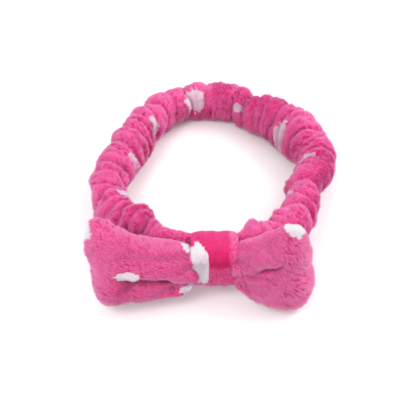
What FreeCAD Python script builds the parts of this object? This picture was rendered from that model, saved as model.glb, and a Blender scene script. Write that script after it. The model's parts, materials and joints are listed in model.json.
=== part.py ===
"""Spa headband: an elastic ring inside a gathered fleece sleeve, with a soft bow held by a knot wrap.

Everything is drawn first in the ring's own frame: the band's middle line lies in the plane z = 0, the bow is at
-Y and the back of the head at +Y. The finished pieces are then tipped back together, so that the bow and the back
of the band rest on the table, and moved so that the origin is under the middle of the object's box.
"""

import FreeCAD, Part
import math
import os
import re
import Sketcher

Vector, Rotation, Placement = FreeCAD.Vector, FreeCAD.Rotation, FreeCAD.Placement
X_AXIS, Y_AXIS, Z_AXIS = Vector(1, 0, 0), Vector(0, 1, 0), Vector(0, 0, 1)
LEFT, RIGHT = -1, 1

doc = FreeCAD.newDocument("spa_headband")

# ---------------------------------------------------------------- driving dimensions, in millimetres and degrees
SIZES = {
    # the band's middle line: a straight neck in the knot, then four tangent arcs of an eighth of a turn on each side
    "neck_half": 16.0,
    "front_reach": 66.0,
    "back_reach": 92.0,
    "left_reach": 76.0,
    "left_widest": -12.0,
    "right_reach": 77.0,
    "right_widest": 24.0,
    # the gathered sleeve
    "band_half_height": 17.0,
    "band_half_depth": 14.0,
    "sleeve_wall": 3.0,
    "neck_half_height": 14.2,
    "neck_half_depth": 5.5,
    "neck_wall": 1.6,
    # the elastic inside it
    "elastic_width": 20.0,
    "elastic_thick": 1.5,
    "elastic_lap": 24.0,
    "seam_thread_radius": 0.6,
    "seam_drop": 11.1,
    # the knot wrap and the bow's pleated waist
    "knot_wall": 2.5,
    "knot_height": 37.8,
    "knot_depth": 29.5,
    "knot_corner": 8.5,
    "hole_corner": 5.5,
    "waist_half_height": 14.0,
    "waist_half_depth": 4.5,
    "waist_gap": 1.8,
    "thread_room": 0.85,
    "thread_thick": 0.5,
    "thread_pitch": 1.4,
    "stitch_radius": 0.3,
    "stitch_length": 3.0,
    # the bow's lobes
    "left_lobe": 67.5,
    "right_lobe": 52.0,
    "lobe_half_height": 36.5,
    "lobe_front_bulge": 19.0,
    "lobe_back_bulge": 5.0,
    "panel_wall": 3.0,
    "lobe_start": 2.5,
    "lobe_sweep": 3.0,
    "lobe_lean": 12.0,
    "rest_flat": 0.8,
}
THREAD_TURNS = 5
KNOT_STITCHES = 6
JOIN_STITCHES = 8
EDGE_STITCHES = 9
# Shares of a lobe's full length, half height, front bulge and back bulge, from the knot outwards.
LOBE_SECTIONS = (
    (0.0, 0.47, 0.36, 0.55),
    (0.22, 0.64, 0.66, 0.72),
    (0.52, 0.87, 1.00, 1.00),
    (0.82, 1.00, 0.84, 0.92),
    (1.0, 0.96, 0.30, 0.42),
)
# Shares of the fore arc's angle, and of the way from the neck's section to the band's.
TAPER_SECTIONS = ((0.0, 0.0), (0.25, 0.22), (0.5, 0.55), (0.75, 0.88), (1.0, 1.0))

sheet = doc.addObject("Spreadsheet::Sheet", "Sizes")
for row, (alias, value) in enumerate(SIZES.items(), start=1):
    sheet.set(f"A{row}", alias)
    sheet.set(f"B{row}", str(value))
    sheet.setAlias(f"B{row}", alias)
doc.recompute()


def size(alias):
    """The value of one cell of the sheet."""
    return float(getattr(sheet, alias))


def turned(angle, axis=Z_AXIS):
    return Rotation(axis, angle)


def bind(obj, **expressions):
    """Binds properties of an object to expressions of the sheet's cells, where a bare word is a cell."""
    cells = re.compile(r"\b(" + "|".join(SIZES) + r")\b")
    for prop, expression in expressions.items():
        obj.setExpression(prop, cells.sub(r"Sizes.\1", expression))
    return obj


# ---------------------------------------------------------------- the ring's middle line, worked out from the sheet
EIGHTH = 45.0
SLANT = math.cos(math.radians(EIGHTH))


def two_arcs(across, along):
    """Radii of two tangent arcs of 45 degrees each that turn a quarter over a distance across and along."""
    wide = (SLANT * (across + along) - across) / (2 * SLANT - 1)
    return across + along - wide, wide


def side_arcs(hand):
    """One side's arcs, drawn as if on the right: name, centre, radius, first and last angle from +X."""
    reach, widest, neck = size(f"{hand}_reach"), size(f"{hand}_widest"), size("neck_half")
    fore, corner = two_arcs(reach - neck, widest + size("front_reach"))
    back, side = two_arcs(reach, size("back_reach") - widest)
    return {
        "fore": ((neck, fore - size("front_reach")), fore, -90.0, -EIGHTH),
        "corner": ((reach - corner, widest), corner, -EIGHTH, 0.0),
        "side": ((reach - side, widest), side, 0.0, EIGHTH),
        "back": ((0.0, size("back_reach") - back), back, EIGHTH, 90.0),
    }


ARCS = {LEFT: side_arcs("left"), RIGHT: side_arcs("right")}
front_y = -size("front_reach")
waist_y = front_y - size("neck_half_depth") - size("waist_gap") - size("waist_half_depth")
knot_front = waist_y - size("waist_half_depth") - size("thread_room") - size("knot_wall")
knot_y = knot_front + size("knot_depth") / 2
radii = [arc[1] for side in ARCS.values() for arc in side.values()]
around = 2 * size("neck_half") + sum(radii) * math.radians(EIGHTH)
print(f"band's middle line is {around:.1f} mm round, radii {[round(r, 1) for r in radii]}")


def arc_place(side, arc):
    """The placement and the sweep of an arc, for a shape that is drawn about +X and swept evenly both ways."""
    (cx, cy), radius, first, last = ARCS[side][arc]
    middle = (first + last) / 2
    angle = middle if side == RIGHT else 180.0 - middle
    return Placement(Vector(side * cx, cy, 0), turned(angle)), radius, last - first


# ---------------------------------------------------------------- small builders
SECTION_UP = Rotation(Vector(1, 1, 1), -120.0)  # a Part ellipse's long axis goes to +Z and its normal to +Y


def ellipse(name, long_half, short_half, place):
    """An ellipse wire that stands up, its long axis along Z."""
    wire = doc.addObject("Part::Ellipse", name)
    bind(wire, MajorRadius=long_half, MinorRadius=short_half)
    wire.Placement = place.multiply(Placement(Vector(), SECTION_UP))
    return wire


def revolved(name, wire, angle):
    """The solid that a wire sweeps about Z, half of the angle each way from where it is drawn."""
    ring = doc.addObject("Part::Revolution", name)
    ring.Source, ring.Axis, ring.Base = wire, Z_AXIS, Vector()
    ring.Angle, ring.Solid, ring.Symmetric = angle, True, True
    return ring


def cut(name, base, tool):
    result = doc.addObject("Part::Cut", name)
    result.Base, result.Tool = base, tool
    return result


def fuse(name, shapes):
    result = doc.addObject("Part::MultiFuse", name)
    result.Shapes = shapes
    return result


def loft(name, sections):
    result = doc.addObject("Part::Loft", name)
    result.Sections, result.Solid, result.Ruled = sections, True, False
    return result


def rectangle(body, name, plane, width, height, out="0"):
    """A sketch of a rectangle on one of the body's origin planes, centred on its vertical axis at a distance out."""
    sketch = body.newObject("Sketcher::SketchObject", name)
    role = [f for f in body.Origin.OriginFeatures if f.Role == plane]
    sketch.AttachmentSupport, sketch.MapMode = [(role[0], "")], "FlatFace"
    corners = [Vector(10, -5, 0), Vector(14, -5, 0), Vector(14, 5, 0), Vector(10, 5, 0)]
    for i, corner in enumerate(corners):
        sketch.addGeometry(Part.LineSegment(corner, corners[(i + 1) % 4]), False)
    for i in range(4):
        sketch.addConstraint(Sketcher.Constraint("Coincident", i, 2, (i + 1) % 4, 1))
    for i, word in enumerate(("Horizontal", "Vertical", "Horizontal", "Vertical")):
        sketch.addConstraint(Sketcher.Constraint(word, i))
    dims = {
        "wide": sketch.addConstraint(Sketcher.Constraint("DistanceX", 0, 1, 0, 2, 4.0)),
        "tall": sketch.addConstraint(Sketcher.Constraint("DistanceY", 1, 1, 1, 2, 10.0)),
        "out": sketch.addConstraint(Sketcher.Constraint("DistanceX", -1, 1, 0, 1, 10.0)),
        "down": sketch.addConstraint(Sketcher.Constraint("DistanceY", 0, 1, -1, 1, 5.0)),
    }
    for word, index in dims.items():
        sketch.renameConstraint(index, word)
    bind(sketch, **{"Constraints.wide": width, "Constraints.tall": height})
    bind(sketch, **{"Constraints.out": f"{out} - ({width}) / 2", "Constraints.down": f"({height}) / 2"})
    return sketch


# ---------------------------------------------------------------- the sleeve
def sleeve_arc(side, arc):
    """One hollow arc of the sleeve, of the band's full section."""
    place, radius, angle = arc_place(side, arc)
    name = f"sleeve_{arc}_{'left' if side == LEFT else 'right'}"
    at = Placement(Vector(radius, 0, 0), Rotation())
    outer = ellipse(f"{name}_o", "band_half_height", "band_half_depth", at)
    inner = ellipse(f"{name}_i", "band_half_height - sleeve_wall", "band_half_depth - sleeve_wall", at)
    tube = cut(name, revolved(f"{name}_ro", outer, angle), revolved(f"{name}_ri", inner, angle))
    tube.Placement = place
    return tube


def taper(side, wall):
    """The loft from the neck's small oval to the band's section, along the fore arc."""
    sections = []
    tag = f"{'left' if side == LEFT else 'right'}_{'in' if wall else 'out'}"
    (cx, cy), radius, first, last = ARCS[side]["fore"]
    for i, (share, grown) in enumerate(TAPER_SECTIONS):
        less = f" - neck_wall - {grown} * (sleeve_wall - neck_wall)" if wall else ""
        angle = first + share * (last - first)
        turn = turned(angle if side == RIGHT else 180.0 - angle)
        middle = Vector(side * cx, cy, 0) + turn.multVec(Vector(radius, 0, 0))
        sections.append(
            ellipse(
                f"taper_{tag}_{i}",
                f"neck_half_height + {grown} * (band_half_height - neck_half_height){less}",
                f"neck_half_depth + {grown} * (band_half_depth - neck_half_depth){less}",
                Placement(middle, turn),
            )
        )
    return loft(f"taper_{tag}", sections)


def neck(wall):
    """The straight oval that the knot squeezes."""
    tag, less = ("neck_in", " - neck_wall") if wall else ("neck_out", "")
    start = Placement(Vector(-size("neck_half"), front_y, 0), turned(-90))
    oval = ellipse(f"{tag}_oval", f"neck_half_height{less}", f"neck_half_depth{less}", start)
    bar = doc.addObject("Part::Extrusion", tag)
    bar.Base, bar.Dir, bar.DirMode, bar.Solid = oval, X_AXIS, "Custom", True
    bind(bar, LengthFwd="2 * neck_half")
    return bar


def sleeve_front():
    outside = fuse("sleeve_front_out", [neck(False), taper(LEFT, False), taper(RIGHT, False)])
    inside = fuse("sleeve_front_in", [neck(True), taper(LEFT, True), taper(RIGHT, True)])
    return cut("sleeve_front", outside, inside)


# ---------------------------------------------------------------- the elastic, and the thread of the sleeve's seam
def elastic_arc(side, arc):
    """One arc of the flat elastic: a rectangle revolved about the arc's centre."""
    place, radius, angle = arc_place(side, arc)
    name = f"elastic_{arc}_{'left' if side == LEFT else 'right'}"
    body = doc.addObject("PartDesign::Body", name)
    sketch = rectangle(body, f"{name}_sketch", "XZ_Plane", "elastic_thick", "elastic_width", str(radius))
    turn = body.newObject("PartDesign::Revolution", f"{name}_turn")
    turn.Profile, turn.ReferenceAxis = sketch, (sketch, ["V_Axis"])
    turn.Angle, turn.Midplane = angle, True
    body.Placement = place
    return body


def box(name, length, width, height, centre):
    """A Part box of three sheet expressions, centred on a point."""
    solid = doc.addObject("Part::Box", name)
    bind(solid, Length=length, Width=width, Height=height)
    doc.recompute()
    half = Vector(solid.Length.Value, solid.Width.Value, solid.Height.Value) * 0.5
    solid.Placement = Placement(centre - half, Rotation())
    return solid


def elastic_front():
    """The elastic in the neck, its lapped end and the two fore arcs."""
    middle = box("elastic_neck", "2 * neck_half", "elastic_thick", "elastic_width", Vector(0, front_y, 0))
    lap_y = front_y + size("elastic_thick")
    lap = box("elastic_lap_end", "elastic_lap", "elastic_thick", "elastic_width", Vector(0, lap_y, 0))
    return fuse("elastic_front", [middle, lap, elastic_arc(LEFT, "fore"), elastic_arc(RIGHT, "fore")])


def seam_arc(side, arc):
    """One arc of the overlocked seam's thread, under the elastic."""
    place, radius, angle = arc_place(side, arc)
    ring = doc.addObject("Part::Torus", f"seam_{arc}_{'left' if side == LEFT else 'right'}")
    ring.Radius1, ring.Angle3 = radius, angle
    bind(ring, Radius2="seam_thread_radius")
    drop = Placement(Vector(0, 0, -size("seam_drop")), turned(-angle / 2))
    ring.Placement = place.multiply(drop)
    return ring


def seam_front():
    bar = doc.addObject("Part::Cylinder", "seam_neck")
    bind(bar, Radius="seam_thread_radius", Height="2 * neck_half")
    bar.Placement = Placement(
        Vector(-size("neck_half"), front_y, -size("seam_drop")), turned(90, Y_AXIS)
    )
    return fuse("sleeve_seam_front", [bar, seam_arc(LEFT, "fore"), seam_arc(RIGHT, "fore")])


def oval_ring(name, x, y, long_half, short_half, thick):
    """A flat-sided loop of thread laid round an oval, which faces along X."""
    loops = []
    for tag, more in (("out", f" + {thick}"), ("in", "")):
        oval = ellipse(
            f"{name}_{tag}", f"{long_half} + 0.05{more}", f"{short_half} + 0.05{more}",
            Placement(Vector(x, y, 0), turned(-90)),
        )
        loop = doc.addObject("Part::Extrusion", f"{name}_{tag}_loop")
        loop.Base, loop.Dir, loop.DirMode, loop.Solid = oval, X_AXIS, "Custom", True
        bind(loop, LengthFwd=thick)
        loops.append(loop)
    return cut(name, *loops)


def stitches(name, count, first, step, length, direction):
    """A row of short straight stitches, each its own solid."""
    row = []
    for i in range(count):
        stitch = doc.addObject("Part::Cylinder", f"{name}_{i}")
        bind(stitch, Radius="stitch_radius")
        stitch.Height = length
        lean = direction if i % 2 == 0 or direction.x == 0 else Vector(-direction.x, direction.y, direction.z)
        at = first + step * i - lean * (length / 2)
        stitch.Placement = Placement(at, Rotation(Z_AXIS, lean))
        row.append(stitch)
    group = doc.addObject("Part::Compound", name)
    group.Links = row
    return group


# ---------------------------------------------------------------- the knot and the bow
def knot_wrap():
    """The strip round the band's neck and the bow's waist: a padded block with its long edges rounded and a hole."""
    body = doc.addObject("PartDesign::Body", "knot_wrap")
    outline = rectangle(body, "knot_outline", "YZ_Plane", "knot_depth", "knot_height")
    pad = body.newObject("PartDesign::Pad", "knot_pad")
    pad.Profile, pad.Midplane = outline, True
    bind(pad, Length="2 * neck_half")
    doc.recompute()
    round_long_edges(body, "knot_round", pad, "knot_corner")
    hole = rectangle(
        body, "knot_hole_outline", "YZ_Plane", "knot_depth - 2 * knot_wall", "knot_height - 2 * knot_wall"
    )
    pocket = body.newObject("PartDesign::Pocket", "knot_hole")
    pocket.Profile, pocket.Midplane, pocket.Type = hole, True, "ThroughAll"
    doc.recompute()
    inside = (size("knot_depth") - 2 * size("knot_wall")) / 2
    round_long_edges(body, "hole_round", pocket, "hole_corner", inside)
    body.Placement = Placement(Vector(0, knot_y, 0), Rotation())
    return body


def round_long_edges(body, name, feature, radius, at=None):
    """Rounds the four straight edges along X, or only those at a distance from the XZ plane."""
    names = []
    for i, edge in enumerate(feature.Shape.Edges, start=1):
        box_of = edge.BoundBox
        straight = box_of.XLength > 1 and box_of.YLength < 0.01 and box_of.ZLength < 0.01
        sharp = len(edge.Vertexes) == 2 and edge.Curve.TypeId == "Part::GeomLine"
        if straight and sharp and (at is None or abs(abs(edge.CenterOfMass.y) - at) < 0.01):
            names.append(f"Edge{i}")
    fillet = body.newObject("PartDesign::Fillet", name)
    fillet.Base = (feature, names)
    bind(fillet, Radius=radius)
    doc.recompute()


def bow_waist():
    oval = ellipse(
        "waist_oval", "waist_half_height", "waist_half_depth",
        Placement(Vector(-size("neck_half"), waist_y, 0), turned(-90)),
    )
    bar = doc.addObject("Part::Extrusion", "bow_waist")
    bar.Base, bar.Dir, bar.DirMode, bar.Solid = oval, X_AXIS, "Custom", True
    bind(bar, LengthFwd="2 * neck_half")
    return bar


def waist_thread():
    """Turns of gathering thread round the waist, side by side."""
    turns = []
    for i in range(THREAD_TURNS):
        x = -size("neck_half") / 2 + i * size("thread_pitch")
        name = f"waist_turn_{i}"
        turns.append(oval_ring(name, x, waist_y, "waist_half_height", "waist_half_depth", "thread_thick"))
    group = doc.addObject("Part::Compound", "waist_thread")
    group.Links = turns
    return group


def lobe_loft(side, face, wall):
    """The full oval loft whose front or back half makes one panel of a lobe, or its inside if wall is set."""
    hand = "left" if side == LEFT else "right"
    tag = f"{hand}_{face}_{'in' if wall else 'out'}"
    less = " - panel_wall" if wall else ""
    shorter = size("panel_wall") if wall else 0.0
    length = size(f"{hand}_lobe")
    sections = []
    for i, (along, tall, front, back) in enumerate(LOBE_SECTIONS):
        x = size("lobe_start") + along * (length - size("lobe_start") - shorter)
        bulge = front if face == "front" else back
        half = f"lobe_{face}_bulge * {bulge}"
        if wall:
            half = f"max(0.8; {half} - panel_wall)"
        sections.append(
            ellipse(f"{tag}_{i}", f"lobe_half_height * {tall}{less}", half, Placement(Vector(x, 0, 0), turned(-90)))
        )
    return loft(f"lobe_{tag}", sections)


def lobe_frame(side):
    """A lobe's own frame: from the knot's side outwards, swept a little forwards, its top leaning back."""
    hinge = Vector(side * size("neck_half"), waist_y, 0)
    turn = -size("lobe_sweep") if side == RIGHT else 180.0 + size("lobe_sweep")
    return Placement(hinge, turned(-size("lobe_lean"), X_AXIS).multiply(turned(turn)))


def panel(side, face):
    """One cut panel of a lobe. A lobe is drawn along +X, so the left one is turned half round and its front is at +Y."""
    hand = "left" if side == LEFT else "right"
    shell = cut(f"shell_{hand}_{face}", lobe_loft(side, face, False), lobe_loft(side, face, True))
    ahead = (face == "front") != (side == LEFT)
    y = -30.0 if ahead else 30.0
    half = box(f"half_{hand}_{face}", "left_lobe + 40", "60", "2 * lobe_half_height + 20", Vector(45, y, 0))
    result = doc.addObject("Part::Common", f"bow_{hand}_{face}_panel")
    result.Base, result.Tool = shell, half
    result.Placement = lobe_frame(side)
    return result


def edge_seam(side):
    """The closing stitches along the lobe's outer end, inside the pillow on the panels' joint."""
    hand = "left" if side == LEFT else "right"
    name = f"bow_{hand}_edge_seam"
    x = size(f"{hand}_lobe") - 2.4 * size("panel_wall")
    step = 1.5 * (size("lobe_half_height") - 2 * size("panel_wall")) / EDGE_STITCHES
    first = Vector(x, 0, -step * (EDGE_STITCHES - 1) / 2)
    row = stitches(name, EDGE_STITCHES, first, Vector(0, 0, step), 0.8 * step, Z_AXIS)
    row.Placement = lobe_frame(side)
    return row


# ---------------------------------------------------------------- the nodes
nodes = {}


def node(name, obj):
    obj.Label = name
    nodes[name] = obj


node("sleeve_front", sleeve_front())
node("elastic_front", elastic_front())
node("sleeve_seam_front", seam_front())
for hand, side in (("left", LEFT), ("right", RIGHT)):
    for piece, maker in (("sleeve", sleeve_arc), ("elastic", elastic_arc), ("sleeve_seam", seam_arc)):
        node(f"{piece}_{hand}", fuse(f"{piece}_{hand}_side", [maker(side, "corner"), maker(side, "side")]))
        node(f"{piece}_back_{hand}", maker(side, "back"))
node(
    "sleeve_end_seam",
    oval_ring("sleeve_end_seam", size("neck_half") / 2, front_y, "neck_half_height", "neck_half_depth", "thread_thick"),
)
node(
    "elastic_join_stitches",
    stitches(
        "elastic_join_stitches", JOIN_STITCHES,
        Vector(0, front_y - size("elastic_thick") / 2 - size("stitch_radius") - 0.05, -7.7), Vector(0, 0, 2.2),
        size("stitch_length"), Vector(0.85, 0, 0.53).normalize(),
    ),
)
node("knot_wrap", knot_wrap())
knot_back = knot_y + size("knot_depth") / 2 + size("stitch_radius") + 0.05
node(
    "knot_seam_stitches",
    stitches(
        "knot_seam_stitches", KNOT_STITCHES, Vector(-10, knot_back, 0), Vector(4, 0, 0),
        size("stitch_length"), Z_AXIS,
    ),
)
node("bow_waist", bow_waist())
node("waist_thread", waist_thread())
for hand, side in (("left", LEFT), ("right", RIGHT)):
    for face in ("front", "back"):
        node(f"bow_{hand}_{face}_panel", panel(side, face))
    node(f"bow_{hand}_edge_seam", edge_seam(side))
doc.recompute()

# ---------------------------------------------------------------- standing on the table
# The bow is taller than the band, so the ring tips back until both touch.
drawn = {name: obj.Placement for name, obj in nodes.items()}
reach = size("back_reach") - waist_y


def stand(angle):
    """Tips every piece back by an angle about X, and gives the placement that does it."""
    turn = Placement(Vector(), turned(-angle, X_AXIS))
    for name, obj in nodes.items():
        obj.Placement = turn.multiply(drawn[name])
    return turn


def lowest(start):
    return min(obj.Shape.optimalBoundingBox().ZMin for name, obj in nodes.items() if name.startswith(start))


tilt = 0.0
for _ in range(4):
    tip = stand(tilt)
    gap = lowest("bow_") - lowest("sleeve_back")
    tilt -= math.degrees(math.asin(gap / reach))
tip = stand(tilt)
doc.recompute()


def whole_box():
    box_of = FreeCAD.BoundBox()
    for obj in nodes.values():
        box_of.add(obj.Shape.optimalBoundingBox())
    return box_of


found = whole_box()
shift = Vector(-found.Center.x, -found.Center.y, -found.ZMin - size("rest_flat"))
for obj in nodes.values():
    obj.Placement = Placement(shift, Rotation()).multiply(obj.Placement)
doc.recompute()
print(f"tilt {tilt:.2f} degrees, shift {[round(v, 3) for v in shift]}")
for label, point in {
    "front reference": Vector(0, front_y, 0),
    "ring centre": Vector(0, (size("back_reach") + front_y) / 2, 0),
    "left hinge": Vector(-size("neck_half"), knot_y - size("knot_depth") / 2 + size("knot_wall") / 2, 0),
    "right hinge": Vector(size("neck_half"), knot_y - size("knot_depth") / 2 + size("knot_wall") / 2, 0),
    "knot centre": Vector(0, knot_y, 0),
}.items():
    placed = tip.multVec(point) + shift
    print(f"{label}: {[round(v, 3) for v in placed]}")

# What touches the table is flattened on it.
table = doc.addObject("Part::Box", "table")
table.Length, table.Width, table.Height = 400, 400, 40
table.Placement = Placement(Vector(-200, -200, -40), Rotation())
doc.recompute()
for name, obj in list(nodes.items()):
    if obj.Shape.optimalBoundingBox().ZMin < -0.01:
        flat = cut(f"{name}_on_table", obj, table)
        obj.Label = f"{name}_round"
        flat.Label = name
        nodes[name] = flat
        print(f"{name} rests on the table")
doc.recompute()

# ---------------------------------------------------------------- checks and files
for obj in doc.Objects:
    if {"Invalid", "Error"} & set(obj.State):
        raise RuntimeError(f"{obj.Label} failed: {obj.State}")
for name, obj in nodes.items():
    if obj.Shape.isNull() or not obj.Shape.isValid() or not obj.Shape.Solids:
        raise RuntimeError(f"{name} has no valid solid")
os.makedirs("parts", exist_ok=True)
for name, obj in nodes.items():
    obj.Shape.exportStep(os.path.join("parts", f"{name}.step"))
    box_of = obj.Shape.optimalBoundingBox()
    print(
        f"{name}: {len(obj.Shape.Solids)} solid, {obj.Shape.Volume / 1000:.2f} cm3, x {box_of.XMin:.1f}..{box_of.XMax:.1f}"
        f" y {box_of.YMin:.1f}..{box_of.YMax:.1f} z {box_of.ZMin:.1f}..{box_of.ZMax:.1f}"
    )
found = whole_box()
print(f"box {found.XLength:.2f} x {found.YLength:.2f} x {found.ZLength:.2f}, centre {found.Center.x:.3f} {found.Center.y:.3f}")
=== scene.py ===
# %% [markdown]
# Spa headband. A ring of knitted elastic lies inside a long sleeve of coral fleece, which is gathered on it
# all the way round. A two-lobed bow of the same fleece is pinched at its middle, and a short strip, the
# knot wrap, holds the bow's waist and the band together. The lesson builds it from the inside out: the
# ring's line, the elastic, the sleeve with its folds, the bow, the knot, then the pile that makes it all
# look soft.

# %% Load the frame
import json
import math
import bmesh
import bpy
import numpy as np
from mathutils import Matrix, Vector


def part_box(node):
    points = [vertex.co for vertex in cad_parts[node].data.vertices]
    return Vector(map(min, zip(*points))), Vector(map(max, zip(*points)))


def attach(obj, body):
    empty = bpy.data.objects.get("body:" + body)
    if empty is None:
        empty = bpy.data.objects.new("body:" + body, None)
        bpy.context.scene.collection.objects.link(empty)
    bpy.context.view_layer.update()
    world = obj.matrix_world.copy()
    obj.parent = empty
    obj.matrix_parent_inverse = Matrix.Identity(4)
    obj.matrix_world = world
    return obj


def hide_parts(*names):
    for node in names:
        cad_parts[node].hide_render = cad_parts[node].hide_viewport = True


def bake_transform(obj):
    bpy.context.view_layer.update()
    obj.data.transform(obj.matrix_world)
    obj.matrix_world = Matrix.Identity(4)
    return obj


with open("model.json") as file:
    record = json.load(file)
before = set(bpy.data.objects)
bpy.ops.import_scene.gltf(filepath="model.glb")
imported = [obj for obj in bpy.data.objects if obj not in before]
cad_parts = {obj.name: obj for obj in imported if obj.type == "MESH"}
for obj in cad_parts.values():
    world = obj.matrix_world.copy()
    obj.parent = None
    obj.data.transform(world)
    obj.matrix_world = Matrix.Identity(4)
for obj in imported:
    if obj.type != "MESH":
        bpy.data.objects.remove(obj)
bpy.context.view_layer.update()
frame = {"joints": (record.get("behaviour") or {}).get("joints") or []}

MM = 0.001
LEFT, RIGHT = -1, 1
HAND = {LEFT: "left", RIGHT: "right"}

# %% [markdown]
# The ring's middle line. On the real object it is wherever the elastic settles, an uneven oval. Here it is
# the same chain of arcs as in the solid model: a straight neck in the knot, then four arcs of an eighth of
# a turn on each side. Knowing the line as a rule, and not as a drawn curve, lets every piece that follows
# it ask for a place, an outward direction and an up direction at any distance from the knot.

# %% The ring's line
NECK_HALF, FRONT_REACH, BACK_REACH = 16 * MM, 66 * MM, 92 * MM
SIDE_REACH = {LEFT: 76 * MM, RIGHT: 77 * MM}
WIDEST = {LEFT: -12 * MM, RIGHT: 24 * MM}
EIGHTH = math.pi / 4


def two_arcs(across, along):
    """Radii of two tangent arcs of 45 degrees each that turn a quarter over a distance across and along."""
    slant = math.cos(EIGHTH)
    wide = (slant * (across + along) - across) / (2 * slant - 1)
    return across + along - wide, wide


def side_arcs(side):
    """The arcs of one side as centre, radius and first angle, in the order that they leave the knot."""
    reach, widest = SIDE_REACH[side], WIDEST[side]
    fore, corner = two_arcs(reach - NECK_HALF, widest + FRONT_REACH)
    back, flank = two_arcs(reach, BACK_REACH - widest)
    return (
        ((NECK_HALF, fore - FRONT_REACH), fore, -2 * EIGHTH),
        ((reach - corner, widest), corner, -EIGHTH),
        ((reach - flank, widest), flank, 0.0),
        ((0.0, BACK_REACH - back), back, EIGHTH),
    )


# how far out of the arcs (+) or inside them (-) the band has settled, by distance from the knot's middle,
# in mm, as far as the middle of the back
SETTLED = {
    LEFT: ((16, 0), (50, -2.0), (75, -3.0), (105, -0.2), (150, -3.0), (188, 2.4), (225, 5.6), (246.9, 2.5)),
    RIGHT: (
        (16, 0), (45, -1), (76, -2.2), (87, -4), (100, -8.3),
        (118, -2), (150, 0.8), (190, -2.4), (228, 0.6), (248.5, 2.5),
    ),
}


def through(x, xs, ys):
    """A smooth curve through known points, read at x."""
    xs, ys = np.asarray(xs, float), np.asarray(ys, float)
    slope = np.gradient(ys, xs)
    i = np.clip(np.searchsorted(xs, x) - 1, 0, len(xs) - 2)
    span = xs[i + 1] - xs[i]
    t = np.clip((x - xs[i]) / span, 0, 1)
    return (
        (1 + 2 * t) * (1 - t) ** 2 * ys[i] + t * (1 - t) ** 2 * span * slope[i]
        + t**2 * (3 - 2 * t) * ys[i + 1] + t**2 * (t - 1) * span * slope[i + 1]
    )


ARCS = {side: side_arcs(side) for side in HAND}
SIDE_LENGTH = {side: NECK_HALF + sum(r for _, r, _ in ARCS[side]) * EIGHTH for side in HAND}
joint = {j["name"]: j for j in frame["joints"]}
slide_axis = joint["stretch"]["axis"]
TILT = math.atan2(-slide_axis[2], slide_axis[1])
TIP = Matrix.Rotation(-TILT, 3, "X")
FRONT_POINT = Vector(joint["bow_roll"]["pos_m"])
SHIFT = FRONT_POINT - TIP @ Vector((0, -FRONT_REACH, 0))
UP = np.array(TIP @ Vector((0, 0, 1)))
print(f"tilt {math.degrees(TILT):.2f} degrees")
print("sides", [round(length / MM, 1) for length in SIDE_LENGTH.values()], "mm long")


def to_world(points):
    """Points of the ring's own frame, as rows, to the row frame."""
    return points @ np.array(TIP).T + np.array(SHIFT)


def ring_line(side, along):
    """Places and outward directions of the ring's line at distances from the knot's middle, on one side."""
    along = np.asarray(along, float)
    place = np.zeros((along.size, 3))
    outward = np.zeros((along.size, 3))
    place[:, 0], place[:, 1], outward[:, 1] = along, -FRONT_REACH, -1.0
    start = NECK_HALF
    for centre, radius, first in ARCS[side]:
        on = along > start
        angle = first + (along[on] - start) / radius
        outward[on, 0], outward[on, 1] = np.cos(angle), np.sin(angle)
        place[on, 0] = centre[0] + radius * np.cos(angle)
        place[on, 1] = centre[1] + radius * np.sin(angle)
        start += radius * EIGHTH
    place += outward * (through(along / MM, *zip(*SETTLED[side])) * MM)[:, None]
    place[:, 0] *= side
    outward[:, 0] *= side
    return to_world(place), outward @ np.array(TIP).T


def joint_distance(side, arcs):
    """How far from the knot's middle the given number of arcs reaches on one side."""
    return NECK_HALF + sum(r for _, r, _ in ARCS[side][:arcs]) * EIGHTH


MIDDLE = {side: (joint_distance(side, 1) + joint_distance(side, 3)) / 2 for side in HAND}
print("the side bodies' middles lie", [round(v / MM, 1) for v in MIDDLE.values()], "mm from the knot")

# %% [markdown]
# Meshes from rows of rings. A sleeve, an elastic and a knot are all a section carried along a line, so they
# share one builder: rows of points that close on themselves. A cloth piece is two such skins, the outer and
# the inner one, with the ends joined. That gives the cloth a true thickness, which a single surface
# wouldn't.

# %% Mesh builders
def skin_faces(rows, columns, first=0, flip=False):
    """Quads between neighbouring rings of a skin."""
    faces = []
    for row in range(rows - 1):
        for column in range(columns):
            after = (column + 1) % columns
            a, b = first + row * columns + column, first + row * columns + after
            quad = (a, b, b + columns, a + columns)
            faces.append(quad[::-1] if flip else quad)
    return faces


def new_piece(name, points, faces, smooth=True):
    """A mesh object at the origin."""
    mesh = bpy.data.meshes.new(name)
    mesh.from_pydata([tuple(p) for p in points], [], faces)
    mesh.validate()
    mesh.update()
    if smooth:
        mesh.shade_smooth()
    piece = bpy.data.objects.new(name, mesh)
    bpy.context.scene.collection.objects.link(piece)
    return piece


def points_of(piece):
    points = np.empty(len(piece.data.vertices) * 3)
    piece.data.vertices.foreach_get("co", points)
    return points.reshape(-1, 3)


def set_points(piece, points):
    piece.data.vertices.foreach_set("co", np.ascontiguousarray(points, dtype=np.float32).ravel())
    piece.data.update()


def normals_of(piece):
    normals = np.empty(len(piece.data.vertices) * 3)
    piece.data.vertices.foreach_get("normal", normals)
    return normals.reshape(-1, 3)


def face_out(piece):
    """Turns all faces outwards."""
    work = bmesh.new()
    work.from_mesh(piece.data)
    bmesh.ops.recalc_face_normals(work, faces=work.faces)
    work.to_mesh(piece.data)
    work.free()
    return piece


def note(piece, name, values, kind="FLOAT"):
    """Keeps a value or a direction at each point of a mesh, for its material or its pile."""
    layer = piece.data.attributes.new(name, kind, "POINT")
    key = "value" if kind == "FLOAT" else "vector"
    layer.data.foreach_set(key, np.ascontiguousarray(values, dtype=np.float32).ravel())


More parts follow.
